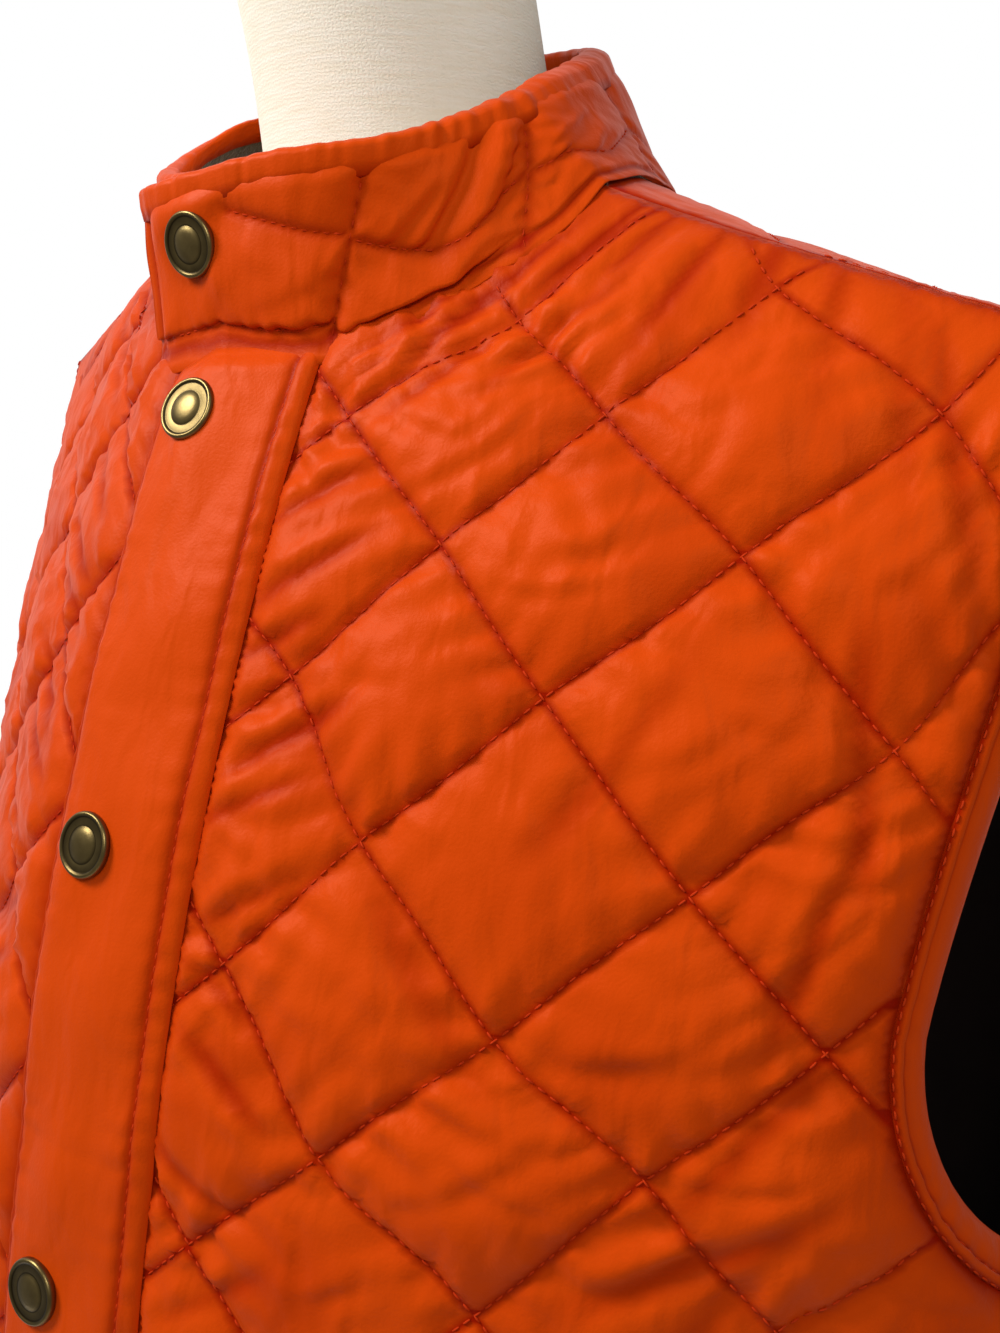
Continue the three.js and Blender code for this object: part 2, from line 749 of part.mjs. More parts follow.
// One half of an armhole's edge, from the side seam up to the shoulder
function armholeHalf(cut) {
  const places = [];
  for (let i = 0; i < BAND_STATIONS; i++) {
    const angle = (i / BAND_STATIONS) * (Math.PI / 2);
    const power = 2 / ARMHOLE_LOW_POWER;
    places.push({
      p: cut.sideP - cut.armholeDepth * Math.sin(angle) ** power,
      q: ARMHOLE_DEEP_Q - (ARMHOLE_DEEP_Q - ARMHOLE_LOW_Q) * Math.cos(angle) ** power,
    });
  }
  const topQ = shoulderQ(cut, girthAt(cut, SHOULDER_POINT_X));
  for (let i = 0; i <= BAND_STATIONS; i++) {
    const q = THREE.MathUtils.lerp(ARMHOLE_DEEP_Q, topQ, i / BAND_STATIONS);
    places.push({ p: armholeP(cut, q), q });
  }
  return places.map(({ p, q }) => ({ at: shellPoint(cut, p, q), normal: shellNormal(cut, p, q) }));
}

// The band's section: reach across the opening and height off the panel's face
function bandSection() {
  const along = (far, out) => ({
    reach: far * Math.cos(BAND_TURN) + out * Math.sin(BAND_TURN),
    height: -far * Math.sin(BAND_TURN) + out * Math.cos(BAND_TURN),
  });
  return [
    { reach: BAND_GAP, height: 0.5 },
    along(BAND_WIDTH * 0.5, BAND_HALF_THICK),
    along(BAND_WIDTH * 0.9, BAND_HALF_THICK * 0.8),
    along(BAND_WIDTH, 0),
    along(BAND_WIDTH * 0.9, -BAND_HALF_THICK),
    { reach: BAND_GAP, height: -WALL - 1 },
  ];
}

function armholeBinding(side) {
  const front = armholeHalf(FRONT);
  const rear = armholeHalf(BACK).map(({ at, normal }) => {
    const turned = new THREE.Vector3(-1, 1, 1);
    return { at: at.multiply(turned), normal: normal.multiply(turned) };
  });
  const loop = front.slice(0, -1).concat(rear.slice(1).reverse());
  const sections = loop.map(({ at, normal }, i) => {
    const before = loop[(i + loop.length - 1) % loop.length].at;
    const after = loop[(i + 1) % loop.length].at;
    const along = after.clone().sub(before).normalize();
    const across = along.clone().cross(normal).normalize();
    const out = across.clone().cross(along).normalize();
    if (out.dot(normal) < 0) out.negate();
    return bandSection().map(({ reach, height }) => {
      const place = at.clone().addScaledVector(across, reach).addScaledVector(out, height);
      place.x *= side;
      return place;
    });
  });
  const { points, faces } = sweep(sections, true);
  return outward(geometryOf(points, faces));
}

// Snaps

// A cap with a rolled rim, a ring groove and a low dome
function snapProfile() {
  const rows = [
    [0, 0],
    [0.96, 0],
    [1, 0.6],
    [0.88, 0.82],
    [0.76, 0.66],
    [0.5, 0.92],
    [0, 1],
  ];
  return rows.map(([out, up]) => new THREE.Vector2(out * SNAP_RADIUS, up * SNAP_HEIGHT));
}

function snap(name, at, normal) {
  const geometry = new THREE.LatheGeometry(snapProfile(), SNAP_SIDES);
  const mesh = meshOf(name, closed(geometry), brass);
  mesh.position.copy(at).addScaledVector(normal, SNAP_CLEAR);
  mesh.quaternion.setFromUnitVectors(new THREE.Vector3(0, 1, 0), normal);
  return mesh;
}

// Drops what only shading needs, merges the shared points and leaves out the faces that vanish
function closed(geometry) {
  geometry.deleteAttribute("normal");
  geometry.deleteAttribute("uv");
  const merged = mergeVertices(geometry, 1e-3);
  const index = merged.getIndex().array;
  const kept = [];
  for (let i = 0; i < index.length; i += 3) {
    const [a, b, c] = index.slice(i, i + 3);
    if (a !== b && b !== c && c !== a) kept.push(a, b, c);
  }
  merged.setIndex(kept);
  return outward(merged);
}

function placketSnap(number) {
  const q = SNAP_TOP_Q - SNAP_SPACING * number;
  const out = PLACKET_CLEAR + PLACKET_THICK * 1.2;
  return snap("snap_placket_" + (number + 1), raised(FRONT, 0, q, out), shellNormal(FRONT, 0.4, q));
}

function collarSnap() {
  const out = COLLAR_THICK / 2 + COLLAR_PUFF;
  const at = (angle, level) => collarPoint(COLLAR_SNAP_ANGLE + angle, COLLAR_SNAP_LEVEL + level, out);
  const along = at(0.05, 0).sub(at(-0.05, 0));
  const up = at(0, 0.1).sub(at(0, -0.1));
  return snap("snap_collar", at(0, 0), along.cross(up).normalize());
}

// Dress form

function formGirth(height) {
  return {
    width: interpolate(FORM_GIRTHS, "height", "width", Math.min(height, CHEST_HEIGHT)),
    depth: interpolate(FORM_GIRTHS, "height", "depth", Math.min(height, CHEST_HEIGHT)),
  };
}

// across runs from -1 to 1 over the width; level is a height below the chest or a turn above it
function formPoint(cut, across, level) {
  const x = FORM_HALF_WIDTH * Math.sin((Math.abs(across) * Math.PI) / 2);
  const part = x / FORM_HALF_WIDTH;
  const depth = cut === FRONT ? FORM_FRONT_DEPTH : FORM_BACK_DEPTH;
  const chest = cut.facing * depth * Math.max(0, 1 - part ** cut.section) ** (1 / cut.section);
  const side = Math.sign(across) || 1;
  if (level.turn === undefined) {
    const girth = formGirth(level.height);
    return new THREE.Vector3(side * x * girth.width, chest * girth.depth, level.height);
  }
  const height = slopeHeight(x) - FORM_CLEAR - SHOULDER_END_DROP * part ** SHOULDER_END_POWER;
  const edge = part ** 12; // front and back take one shape where they meet at the side
  const shoulderRound = THREE.MathUtils.lerp(cut.shoulderRound, 1, edge);
  const chestRound = THREE.MathUtils.lerp(cut.chestRound, 1.3, edge);
  const y = SHOULDER_LINE_Y + (chest - SHOULDER_LINE_Y) * Math.max(0, Math.cos(level.turn)) ** shoulderRound;
  const z = CHEST_HEIGHT + height * Math.sin(level.turn) ** chestRound;
  return new THREE.Vector3(side * x, y, z);
}

function formLevels() {
  const levels = [];
  for (let height = FORM_BOTTOM; height < CHEST_HEIGHT - 1; height += (CHEST_HEIGHT - FORM_BOTTOM) / 9) {
    levels.push({ height });
  }
  for (let i = 0; i <= FORM_SLOPE_ROWS; i++) levels.push({ turn: (i / FORM_SLOPE_ROWS) * (Math.PI / 2) });
  return levels;
}

function formTorso() {
  const levels = formLevels();
  const points = [];
  const faces = [];
  for (const cut of [FRONT, BACK])
    for (let i = 0; i <= FORM_COLUMNS; i++)
      for (const level of levels) points.push(formPoint(cut, (2 * i) / FORM_COLUMNS - 1, level));
  const rows = levels.length;
  const backStart = (FORM_COLUMNS + 1) * rows;
  for (let i = 0; i < FORM_COLUMNS; i++) {
    const a = i * rows;
    const b = a + rows;
    for (let j = 0; j < rows - 1; j++) {
      faces.push([a + j, b + j, b + j + 1], [a + j, b + j + 1, a + j + 1]);
      const [c, d] = [backStart + a + j, backStart + b + j];
      faces.push([c, d + 1, d], [c, c + 1, d + 1]);
    }
    faces.push([a, backStart + a, backStart + b], [a, backStart + b, b]);
  }
  return geometryOf(points, faces);
}

function formNeck() {
  const rows = NECK_SECTIONS;
  const points = [new THREE.Vector3(0, rows[0].y, rows[0].height)];
  for (const { height, y, radius } of rows)
    for (let i = 0; i < NECK_SIDES; i++) {
      const angle = (i / NECK_SIDES) * 2 * Math.PI;
      points.push(new THREE.Vector3(radius * Math.cos(angle), y + radius * Math.sin(angle), height));
    }
  points.push(new THREE.Vector3(0, rows.at(-1).y, rows.at(-1).height));
  const faces = [];
  const lastRow = 1 + (rows.length - 1) * NECK_SIDES;
  for (let i = 0; i < NECK_SIDES; i++) {
    const next = (i + 1) % NECK_SIDES;
    faces.push([0, 1 + next, 1 + i], [points.length - 1, lastRow + i, lastRow + next]);
    for (let j = 0; j < rows.length - 1; j++) {
      const a = 1 + j * NECK_SIDES;
      faces.push([a + i, a + next, a + NECK_SIDES + next], [a + i, a + NECK_SIDES + next, a + NECK_SIDES + i]);
    }
  }
  return geometryOf(points, faces);
}

function solidOf(geometry) {
  const merged = closed(geometry);
  const vertProperties = new Float32Array(merged.getAttribute("position").array);
  const triVerts = new Uint32Array(merged.getIndex().array);
  return new wasm.Manifold(new wasm.Mesh({ numProp: 3, vertProperties, triVerts }));
}

function dressForm() {
  const joined = solidOf(turnedBack(formTorso())).add(solidOf(formNeck())).getMesh();
  const geometry = new THREE.BufferGeometry();
  geometry.setAttribute("position", new THREE.BufferAttribute(joined.vertProperties, 3));
  geometry.setIndex(new THREE.BufferAttribute(joined.triVerts, 1));
  geometry.computeVertexNormals();
  return geometry;
}

function post() {
  const height = FORM_BOTTOM - BASE_THICK - 2 * SEAM_GAP;
  const geometry = closed(new THREE.CylinderGeometry(POST_RADIUS, POST_RADIUS, height, 20));
  geometry.rotateX(Math.PI / 2);
  geometry.translate(0, 0, BASE_THICK + SEAM_GAP + height / 2);
  return geometry;
}

function base() {
  const profile = [
    new THREE.Vector2(0, 0),
    new THREE.Vector2(BASE_RADIUS, 0),
    new THREE.Vector2(BASE_RADIUS, BASE_THICK - BASE_EDGE),
    new THREE.Vector2(BASE_RADIUS - BASE_EDGE, BASE_THICK),
    new THREE.Vector2(0, BASE_THICK),
  ];
  const geometry = closed(new THREE.LatheGeometry(profile, ROUND_SIDES));
  geometry.rotateX(Math.PI / 2);
  return geometry;
}

// Moves each point past the start as if its side were turned back about an upright line there
function turnedBack(geometry) {
  const position = geometry.getAttribute("position");
  for (let i = 0; i < position.count; i++) {
    const past = Math.max(SIDE_START_X - position.getX(i), 0);
    const reach = Math.hypot(past, SIDE_SOFT) - SIDE_SOFT;
    position.setX(i, position.getX(i) + reach * (1 - Math.cos(SIDE_TURN)));
    position.setY(i, position.getY(i) + reach * Math.sin(SIDE_TURN));
  }
  geometry.computeVertexNormals();
  return geometry;
}

const worn = new THREE.Group();
worn.rotation.z = FACING_TURN;
worn.add(meshOf("front_left", turnedBack(leftFront()), vest));
worn.add(meshOf("front_right", turnedBack(rightFront()), vest));
worn.add(meshOf("back", turnedBack(back()), vest));
worn.add(meshOf("placket", turnedBack(placket()), vest));
worn.add(meshOf("collar", turnedBack(collar()), vest));
worn.add(meshOf("collar_lining", turnedBack(collarLining()), pile));
worn.add(meshOf("collar_binding", turnedBack(collarBinding()), vest));
worn.add(meshOf("armhole_binding_left", turnedBack(armholeBinding(1)), vest));
worn.add(meshOf("armhole_binding_right", turnedBack(armholeBinding(-1)), vest));
worn.add(collarSnap());
for (let number = 0; number < PLACKET_SNAPS; number++) worn.add(placketSnap(number));
worn.add(meshOf("dress_form", dressForm(), linen));

const group = new THREE.Group();
group.add(worn);
group.add(meshOf("form_post", post(), steel));
group.add(meshOf("form_base", base(), steel));

export default group;
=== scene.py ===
"""A quilted vest, snapped shut, on a limbless dress form.

Lengths are millimetres until a mesh is made. The vest's body surface is the part's own: a place on
it is p, the girth from the centre line, and q, the length up from the chest line.
"""
import math

import bmesh
import bpy
import numpy as np
from mathutils import Matrix, Vector


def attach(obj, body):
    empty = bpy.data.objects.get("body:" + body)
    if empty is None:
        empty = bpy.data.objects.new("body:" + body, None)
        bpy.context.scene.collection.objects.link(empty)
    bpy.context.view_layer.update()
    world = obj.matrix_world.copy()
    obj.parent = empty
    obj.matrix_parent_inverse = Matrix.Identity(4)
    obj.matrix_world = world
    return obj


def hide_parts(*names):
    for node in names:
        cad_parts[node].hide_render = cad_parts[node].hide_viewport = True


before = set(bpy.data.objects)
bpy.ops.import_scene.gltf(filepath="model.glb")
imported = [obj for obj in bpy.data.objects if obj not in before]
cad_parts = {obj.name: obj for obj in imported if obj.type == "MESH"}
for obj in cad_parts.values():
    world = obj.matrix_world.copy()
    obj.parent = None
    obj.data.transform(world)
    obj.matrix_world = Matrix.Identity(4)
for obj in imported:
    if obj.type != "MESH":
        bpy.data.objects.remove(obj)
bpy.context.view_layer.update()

MM = 0.001

# Body surface of the vest, at its stitched grooves. section is the power of the chest's oval; the two
# rounds are powers that shape the slope from the chest up over the shoulder; column is the place of the
# quilting's middle crossings
CHEST_HEIGHT = 647.0
CHEST_HALF_WIDTH = 232.0
SHOULDER_PEAK = 926.0
SHOULDER_SLOPE = math.tan(math.radians(16.8))
SHOULDER_LINE_Y = -8.7
FRONT = dict(facing=-1, depth=113.0, section=1.86, chest_round=1.51, shoulder_round=1.51,
             flare=0.15, flare_length=90.0, armhole_depth=64.5, column=10.8)
BACK = dict(facing=1, depth=145.0, section=2.2, chest_round=0.9, shoulder_round=0.6,
            flare=0.05, flare_length=160.0, armhole_depth=52.0, column=0.0)
SEAM_TURN = 10.0
# Fineness of the tables that turn lengths on the cloth into places
GIRTH_STEPS = 3073
TABLE_COLUMNS = 181
TABLE_ROWS = 257
NORMAL_STEP = 0.8

# How the form wears it: the wearer's right side is turned back, then all of it is turned on its post
SIDE_START_X = -14.0
SIDE_TURN = math.radians(22)
SIDE_SOFT = 15.0
FACING_TURN = math.radians(11)

# Cut lines
HEM_Q = -452.0
OVAL_POWER = 2.3
NECK = dict(half_width=94.0, centre_y=2.0, front_depth=44.0, back_depth=86.0)
NECK_RISE = 7.0
NECK_RISE_LENGTH = 13.0
NECK_RISE_START = -0.6
NECK_RISE_GROWTH = 0.9
SHOULDER_POINT_X = 222.0
ARMHOLE_LOW_Q = -9.0
ARMHOLE_DEEP_Q = 61.0
ARMHOLE_LOW_POWER = 1.9
ARMHOLE_HIGH_POWER = 1.3

# Quilting
QUILT_HALF_WIDTH = 37.2
QUILT_HALF_HEIGHT = 35.6
QUILT_SIDE = math.hypot(QUILT_HALF_WIDTH, QUILT_HALF_HEIGHT)
QUILT_TOP_Q = 236.0
QUILT_RISE = 5.2
# Below the shoulder line the quilting is flattened over this length, on the front and on the back
SHOULDER_FLAT = {-1: 50.0, 1: 120.0}
WALL = 2.0

# Placket
PLACKET_FREE_P = -16.0
PLACKET_SEAM_P = 34.4
PLACKET_SPAN = PLACKET_SEAM_P - PLACKET_FREE_P
PLACKET_LAP = 8.0
PLACKET_CLEAR = 0.9
PLACKET_THICK = 2.4
PLACKET_TOP_CLEAR = 12.5
PLACKET_TOP_SLANT = 5.5
PRESSED_REST = 0.3
PRESSED_LEFT_GROWTH = 2.2
RIGHT_FRONT_EDGE_P = 12.0

# Collar
RIM = dict(half_width=69.0, centre_y=-3.0, front_depth=46.0, back_depth=78.0)
RIM_HEIGHT = 928.0
RIM_FRONT_SLOPE = 0.49
RIM_BACK_SLOPE = 0.36
COLLAR_OVER_END = math.radians(-27)
COLLAR_UNDER_END = math.radians(376)
COLLAR_THICK = 3.0
COLLAR_LIFT = 1.0
COLLAR_LAP = 9.4
COLLAR_LAP_FULL = math.radians(26)
COLLAR_LAP_GONE = math.radians(75)
# How the worn collar sits: at each turn from the front, its base's reach and its rim's lift
COLLAR_SET = [
    dict(turn=-27, base=-0.5, rim=-6.0), dict(turn=0, base=-0.5, rim=-2.5),
    dict(turn=22, base=-1.0, rim=0.0),
    dict(turn=40, base=-2.0, rim=0.0), dict(turn=55, base=-1.0, rim=0.0), dict(turn=70, base=1.5, rim=1.0),
    dict(turn=80, base=0.5, rim=1.0), dict(turn=90, base=-1.5, rim=1.5), dict(turn=105, base=-3.0, rim=2.0),
    dict(turn=125, base=2.5, rim=3.0), dict(turn=180, base=1.0, rim=0.0), dict(turn=235, base=2.5, rim=3.0),
    dict(turn=260, base=5.0, rim=4.0), dict(turn=280, base=5.0, rim=2.5), dict(turn=300, base=-1.0, rim=0.0),
    dict(turn=376, base=-2.5, rim=-2.5),
]
COLLAR_SET_SPREAD = [-6, -3, 0, 3, 6]
LINING_THICK = 1.2
LINING_CLEAR = 0.3
LINING_NAP = dict(height=0.3, size=5)
BINDING_DROP = 8.0

# Armhole bands
BAND_TURN = math.radians(45)
BAND_STATIONS = 460
BAND_EDGE_STEPS = 160
BAND_SEAT = dict(over=0.4, up=0.3)
# Its crimps: how high, where over the band, and the height where the edge bends most
BAND_CRIMP = dict(height=0.16, gap=7.5, far=4.0, reach=3.5, least=0.35)
BAND_BEND = dict(height=655.0, reach=45.0)
BAND_WAVES = [dict(height=0.7, count=23, start=1.7), dict(height=0.6, count=61, start=0.4)]
BAND_SHADE_REACH = 0.5

# Snaps
SNAP_RADIUS = 9.0
SNAP_HEIGHT = 3.4
PLACKET_SNAPS = 6
SNAP_SIDES = 48
SNAP_CENTRE_PART = 0.4

# Dress form and stand
FORM_CLEAR = 1.7
FORM_HALF_WIDTH = 168.0
FORM_DEPTH = {-1: 88.0, 1: 112.0}
FORM_BOTTOM = 150.0
SHOULDER_END_DROP = 46.0
SHOULDER_END_POWER = 14
FORM_GIRTH_HEIGHTS = [150.0, 250.0, 340.0, 430.0, 540.0, 647.0]
FORM_GIRTH_WIDTHS = [0.97, 0.98, 0.92, 0.84, 0.92, 1.0]
FORM_GIRTH_DEPTHS = [1.06, 1.08, 0.99, 0.9, 0.96, 1.0]
NECK_HEIGHTS = [850.0, 905.0, 945.0, 1012.0, 1016.0]
NECK_AXIS_Y = [36.0, 33.0, 23.0, -1.0, -2.5]
NECK_RADII = [50.0, 47.0, 45.5, 45.0]
# Its rounded top: height, and how much narrower
NECK_TOP = [dict(height=1014.0, less=0.6), dict(height=1015.4, less=1.8), dict(height=1016.0, less=3.5)]
NECK_STEPS = 60
NECK_SIDES = 96
NECK_SMOOTH = 6
FORM_COLUMNS = 97
FORM_BODY_ROWS = 60
FORM_SLOPE_ROWS = 49
FORM_END_ROUND = 1.3
FORM_END_POWER = 12
MERGE_DISTANCE = 1e-5
POST_RADIUS = 16.0
POST_CLEAR = 0.3
BASE_RADIUS = 160.0
BASE_THICK = 16.0
BASE_EDGE = 3.0
BASE_FOOT = 0.6
POST_SIDES = 64
BASE_SIDES = 128
STEEL_SHARP = math.radians(35)

# Camera of the photograph
CAMERA_PLACE = (348.6, -269.7, 839.8)
CAMERA_AZIMUTH = 45.9
CAMERA_DOWN = 10.12
CAMERA_ROLL = 1.5
FOCAL_PIXELS = 1394.0
PHOTO_HEIGHT = 1333.0
SENSOR_MM = 36.0


def ease(t):
    """Smooth step from 0 to 1."""
    s = np.clip(t, 0.0, 1.0)
    return s * s * (3 - 2 * s)


def unit(v):
    """Vectors of length one, along the last axis."""
    return v / np.maximum(np.linalg.norm(v, axis=-1, keepdims=True), 1e-9)


def worn(points):
    """Places as worn: past the placket each is moved as if its side were turned back about an upright
    line there, then all are turned about the post."""
    past = np.maximum(SIDE_START_X - points[..., 0], 0)
    reach = np.hypot(past, SIDE_SOFT) - SIDE_SOFT
    x = points[..., 0] + reach * (1 - math.cos(SIDE_TURN))
    y = points[..., 1] + reach * math.sin(SIDE_TURN)
    return turned_only(np.stack([x, y, points[..., 2]], axis=-1))


def turned_only(points):
    """Places turned about the post."""
    x, y, z = points[..., 0], points[..., 1], points[..., 2]
    turned_x = x * math.cos(FACING_TURN) - y * math.sin(FACING_TURN)
    turned_y = x * math.sin(FACING_TURN) + y * math.cos(FACING_TURN)
    return np.stack([turned_x, turned_y, z], axis=-1)


# Body surface

def measure(cut):
    """Girth along the chest's oval, and for each girth the turn reached at each part of the slope's
    length."""
    angle = np.linspace(0, math.pi / 2, GIRTH_STEPS)
    x = CHEST_HALF_WIDTH * np.sin(angle) ** (2 / cut["section"])
    y = cut["depth"] * np.cos(angle) ** (2 / cut["section"])
    girth = np.concatenate([[0], np.cumsum(np.hypot(np.diff(x), np.diff(y)))])
    cut["girths"] = girth
    cut["widths"] = x
    cut["side_p"] = girth[-1]
    cut["table_p"] = np.linspace(0, girth[-1], TABLE_COLUMNS)
    turns = np.linspace(0, math.pi / 2, TABLE_ROWS)
    parts = np.linspace(0, 1, TABLE_ROWS)
    wide = np.interp(cut["table_p"], girth, x)
    out = chest_y(cut, wide) - SHOULDER_LINE_Y
    ys = out[:, None] * np.clip(np.cos(turns), 0, 1) ** cut["shoulder_round"]
    zs = slope_height(wide)[:, None] * np.sin(turns) ** cut["chest_round"]
    lengths = np.cumsum(np.hypot(np.diff(ys, axis=1), np.diff(zs, axis=1)), axis=1)
    lengths = np.concatenate([np.zeros((len(wide), 1)), lengths], axis=1)
    cut["shoulder_q"] = lengths[:, -1]
    rows = [np.interp(parts * row[-1], row, turns) for row in lengths]
    cut["turns"] = np.array(rows)


def chest_y(cut, x):
    """Depth of the chest's oval at a width."""
    part = np.clip(1 - np.abs(x / CHEST_HALF_WIDTH) ** cut["section"], 0, 1)
    return cut["facing"] * cut["depth"] * part ** (1 / cut["section"])


def slope_height(x):
    """Height of the shoulder line over the chest: it falls evenly away from the neck."""
    return SHOULDER_PEAK - SHOULDER_SLOPE * np.abs(x) - CHEST_HEIGHT


def width_at(cut, p):
    """Half width of the chest's oval at a girth from its middle."""
    return np.interp(np.abs(p), cut["girths"], cut["widths"])


def girth_at(cut, x):
    """Girth from the middle at a half width, the other way round."""
    return np.interp(x, cut["widths"], cut["girths"])


def shoulder_q(cut, p):
    """Length up the cloth from the chest to the shoulder line at a girth."""
    return np.interp(np.abs(p), cut["table_p"], cut["shoulder_q"])


def turn_at(cut, p, q):
    """The slope's turn at a length q, from the table by two-way interpolation."""
    row = np.clip(np.abs(p) / cut["side_p"], 0, 1) * (len(cut["table_p"]) - 1)
    part = np.clip(q / shoulder_q(cut, p), 0, 1) * (cut["turns"].shape[1] - 1)
    i = np.minimum(row.astype(int), len(cut["table_p"]) - 2)
    j = np.minimum(part.astype(int), cut["turns"].shape[1] - 2)
    u = row - i
    v = part - j
    t = cut["turns"]
    low = t[i, j] * (1 - v) + t[i, j + 1] * v
    high = t[i + 1, j] * (1 - v) + t[i + 1, j + 1] * v
    return low * (1 - u) + high * u


def depth_of(oval, forward):
    """An oval's depth, which differs in front of its centre and behind it."""
    return np.where(forward, oval["front_depth"], oval["back_depth"])


def neck_reach(x, y):
    """How far out from the neckline's oval a plan place is, in oval radii."""
    along = np.abs((y - NECK["centre_y"]) / depth_of(NECK, y < NECK["centre_y"]))
    across = np.abs(x / NECK["half_width"])
    return (across ** OVAL_POWER + along ** OVAL_POWER) ** (1 / OVAL_POWER)


def neck_rise(x, y):
    """The cloth turns up towards the collar at the sides and the back."""
    away = np.maximum(0, neck_reach(x, y) - 1) * NECK["front_depth"]
    behind = (y - NECK["centre_y"]) / NECK["front_depth"]
    side = ease((behind - NECK_RISE_START) / NECK_RISE_GROWTH)
    return NECK_RISE * side * np.exp(-away / NECK_RISE_LENGTH)


def shell(cut, p, q):
    """Body surface: below the chest the oval goes straight down and flares; above it each width follows
    its slope to the shoulder line."""
    x = width_at(cut, p)
    flare = 1 + cut["flare"] * (1 - np.exp(np.minimum(q, 0) / cut["flare_length"]))
    turn = turn_at(cut, p, np.maximum(q, 0))
    chest = chest_y(cut, x)
    inward = np.clip(np.cos(turn), 0, 1) ** cut["shoulder_round"]
    high_y = SHOULDER_LINE_Y + (chest - SHOULDER_LINE_Y) * inward
    y = np.where(q > 0, high_y, chest * flare)
    high_z = slope_height(x) * np.sin(turn) ** cut["chest_round"]
    z = CHEST_HEIGHT + np.where(q > 0, high_z, q) + neck_rise(x, y)
    return np.stack([-cut["facing"] * np.sign(p) * x, y, z], axis=-1)


def shell_normal(cut, p, q):
    """Normal by differences; front and back share it at their seams."""
    step = NORMAL_STEP
    right = np.minimum(p + step, cut["side_p"])
    left = np.maximum(p - step, -cut["side_p"])
    top = np.minimum(q + step, shoulder_q(cut, p) - 0.01)
    along = shell(cut, right, top - step) - shell(cut, left, top - step)
    up = shell(cut, p, top) - shell(cut, p, top - 2 * step)
    normal = unit(np.cross(along, up))
    to_seam = np.minimum(shoulder_q(cut, p) - q, cut["side_p"] - np.abs(p))
    normal[..., 1] *= ease((to_seam - 2 * step) / SEAM_TURN)
    return unit(normal)


for half in (FRONT, BACK):
    measure(half)


# Cut lines: each gives the distance inside the line

def inside_neck(cut, p, q):
    """Distance outside the neckline's oval, in plan."""
    place = shell(cut, p, q)
    return (neck_reach(place[..., 0], place[..., 1]) - 1) * NECK["front_depth"]


def armhole_p(cut, q):
    """Girth of the armhole's edge above its deepest place."""
    deep = cut["side_p"] - cut["armhole_depth"]
    at_shoulder = girth_at(cut, SHOULDER_POINT_X)
    top = shoulder_q(cut, at_shoulder)
    rise = np.clip((q - ARMHOLE_DEEP_Q) / (top - ARMHOLE_DEEP_Q), 0, None)
    return deep + (at_shoulder - deep) * rise ** ARMHOLE_HIGH_POWER


def inside_armhole(cut, p, q):
    """Above the deepest place, distance from the edge's line; below it, from a quarter oval."""
    across = np.clip(cut["side_p"] - np.abs(p), 0, None) / cut["armhole_depth"]
    down = np.clip(ARMHOLE_DEEP_Q - q, 0, None) / (ARMHOLE_DEEP_Q - ARMHOLE_LOW_Q)
    reach = (across ** ARMHOLE_LOW_POWER + down ** ARMHOLE_LOW_POWER) ** (1 / ARMHOLE_LOW_POWER)
    above = armhole_p(cut, q) - np.abs(p)
    return np.where(q >= ARMHOLE_DEEP_Q, above, (reach - 1) * cut["armhole_depth"])


def nearest_edge(cut, p, q):
    """Distance inside the nearest of a panel's own cut lines."""
    lines = [
        inside_neck(cut, p, q),
        shoulder_q(cut, p) - q,
        inside_armhole(cut, p, q),
        cut["side_p"] - np.abs(p),
        q - HEM_Q,
    ]
    return np.minimum.reduce(lines)


# Noise that repeats the same way on each run

CRIMP_WAVES = 5
CRIMP_LEVEL = 2.2  # brings the sum of the waves to about -1 to 1
# The ridge beside a fold: how far out, in fold widths, and how high against the fold's depth
RIDGE_AWAY = 1.6
RIDGE_HEIGHT = 0.55


def ripples(x, y, size, seed, count=9):
    """Sum of sine waves in random directions, about one size apart; roughly from -1 to 1."""
    rng = np.random.default_rng(seed)
    total = np.zeros(np.broadcast(x, y).shape)
    for _ in range(count):
        angle = rng.uniform(0, 2 * math.pi)
        wave = 2 * math.pi / size * rng.uniform(0.6, 1.5)
        along = x * math.cos(angle) + y * math.sin(angle)
        total += np.sin(wave * along + rng.uniform(0, 2 * math.pi))
    return total / math.sqrt(count)


def crimps(along, line, size, seed):
    """Uneven waves along a stitched line, other ones on each line."""
    rng = np.random.default_rng(seed)
    total = np.zeros(np.shape(along))
    for _ in range(CRIMP_WAVES):
        phase = rng.uniform(0, 2 * math.pi) + np.asarray(line) * rng.uniform(1, 9)
        wave = 2 * math.pi / size * rng.uniform(0.45, 1.5)
        total += np.sin(wave * along + phase)
    return total / CRIMP_LEVEL


def crease(p, q, row):
    """One listed fold: a soft trough with a low ridge beside it, tapering to both ends. With a
    negative depth the fold stands up instead."""
    turned = math.radians(row["angle"])
    dp = p - row["p"]
    dq = q - row["q"]
    along = dp * math.cos(turned) + dq * math.sin(turned)
    bowed = row.get("bow", 0.0) * (along / row["length"]) ** 2
    across = -dp * math.sin(turned) + dq * math.cos(turned) - bowed
    t = across / row["width"]
    taper = np.exp(-((along / (0.5 * row["length"])) ** 4))
    ridge = RIDGE_HEIGHT * np.exp(-((t - RIDGE_AWAY) ** 2))
    return row["depth"] * taper * (ridge - np.exp(-(t ** 2)))


def creases(p, q, table):
    """All the folds of a table together."""
    return sum(crease(p, q, row) for row in table)


# Meshes

def to_linear(hex_colour):
    """sRGB hex to linear RGBA."""
    parts = [((hex_colour >> shift) & 255) / 255 for shift in (16, 8, 0)]
    return [c / 12.92 if c <= 0.04045 else ((c + 0.055) / 1.055) ** 2.4 for c in parts] + [1.0]


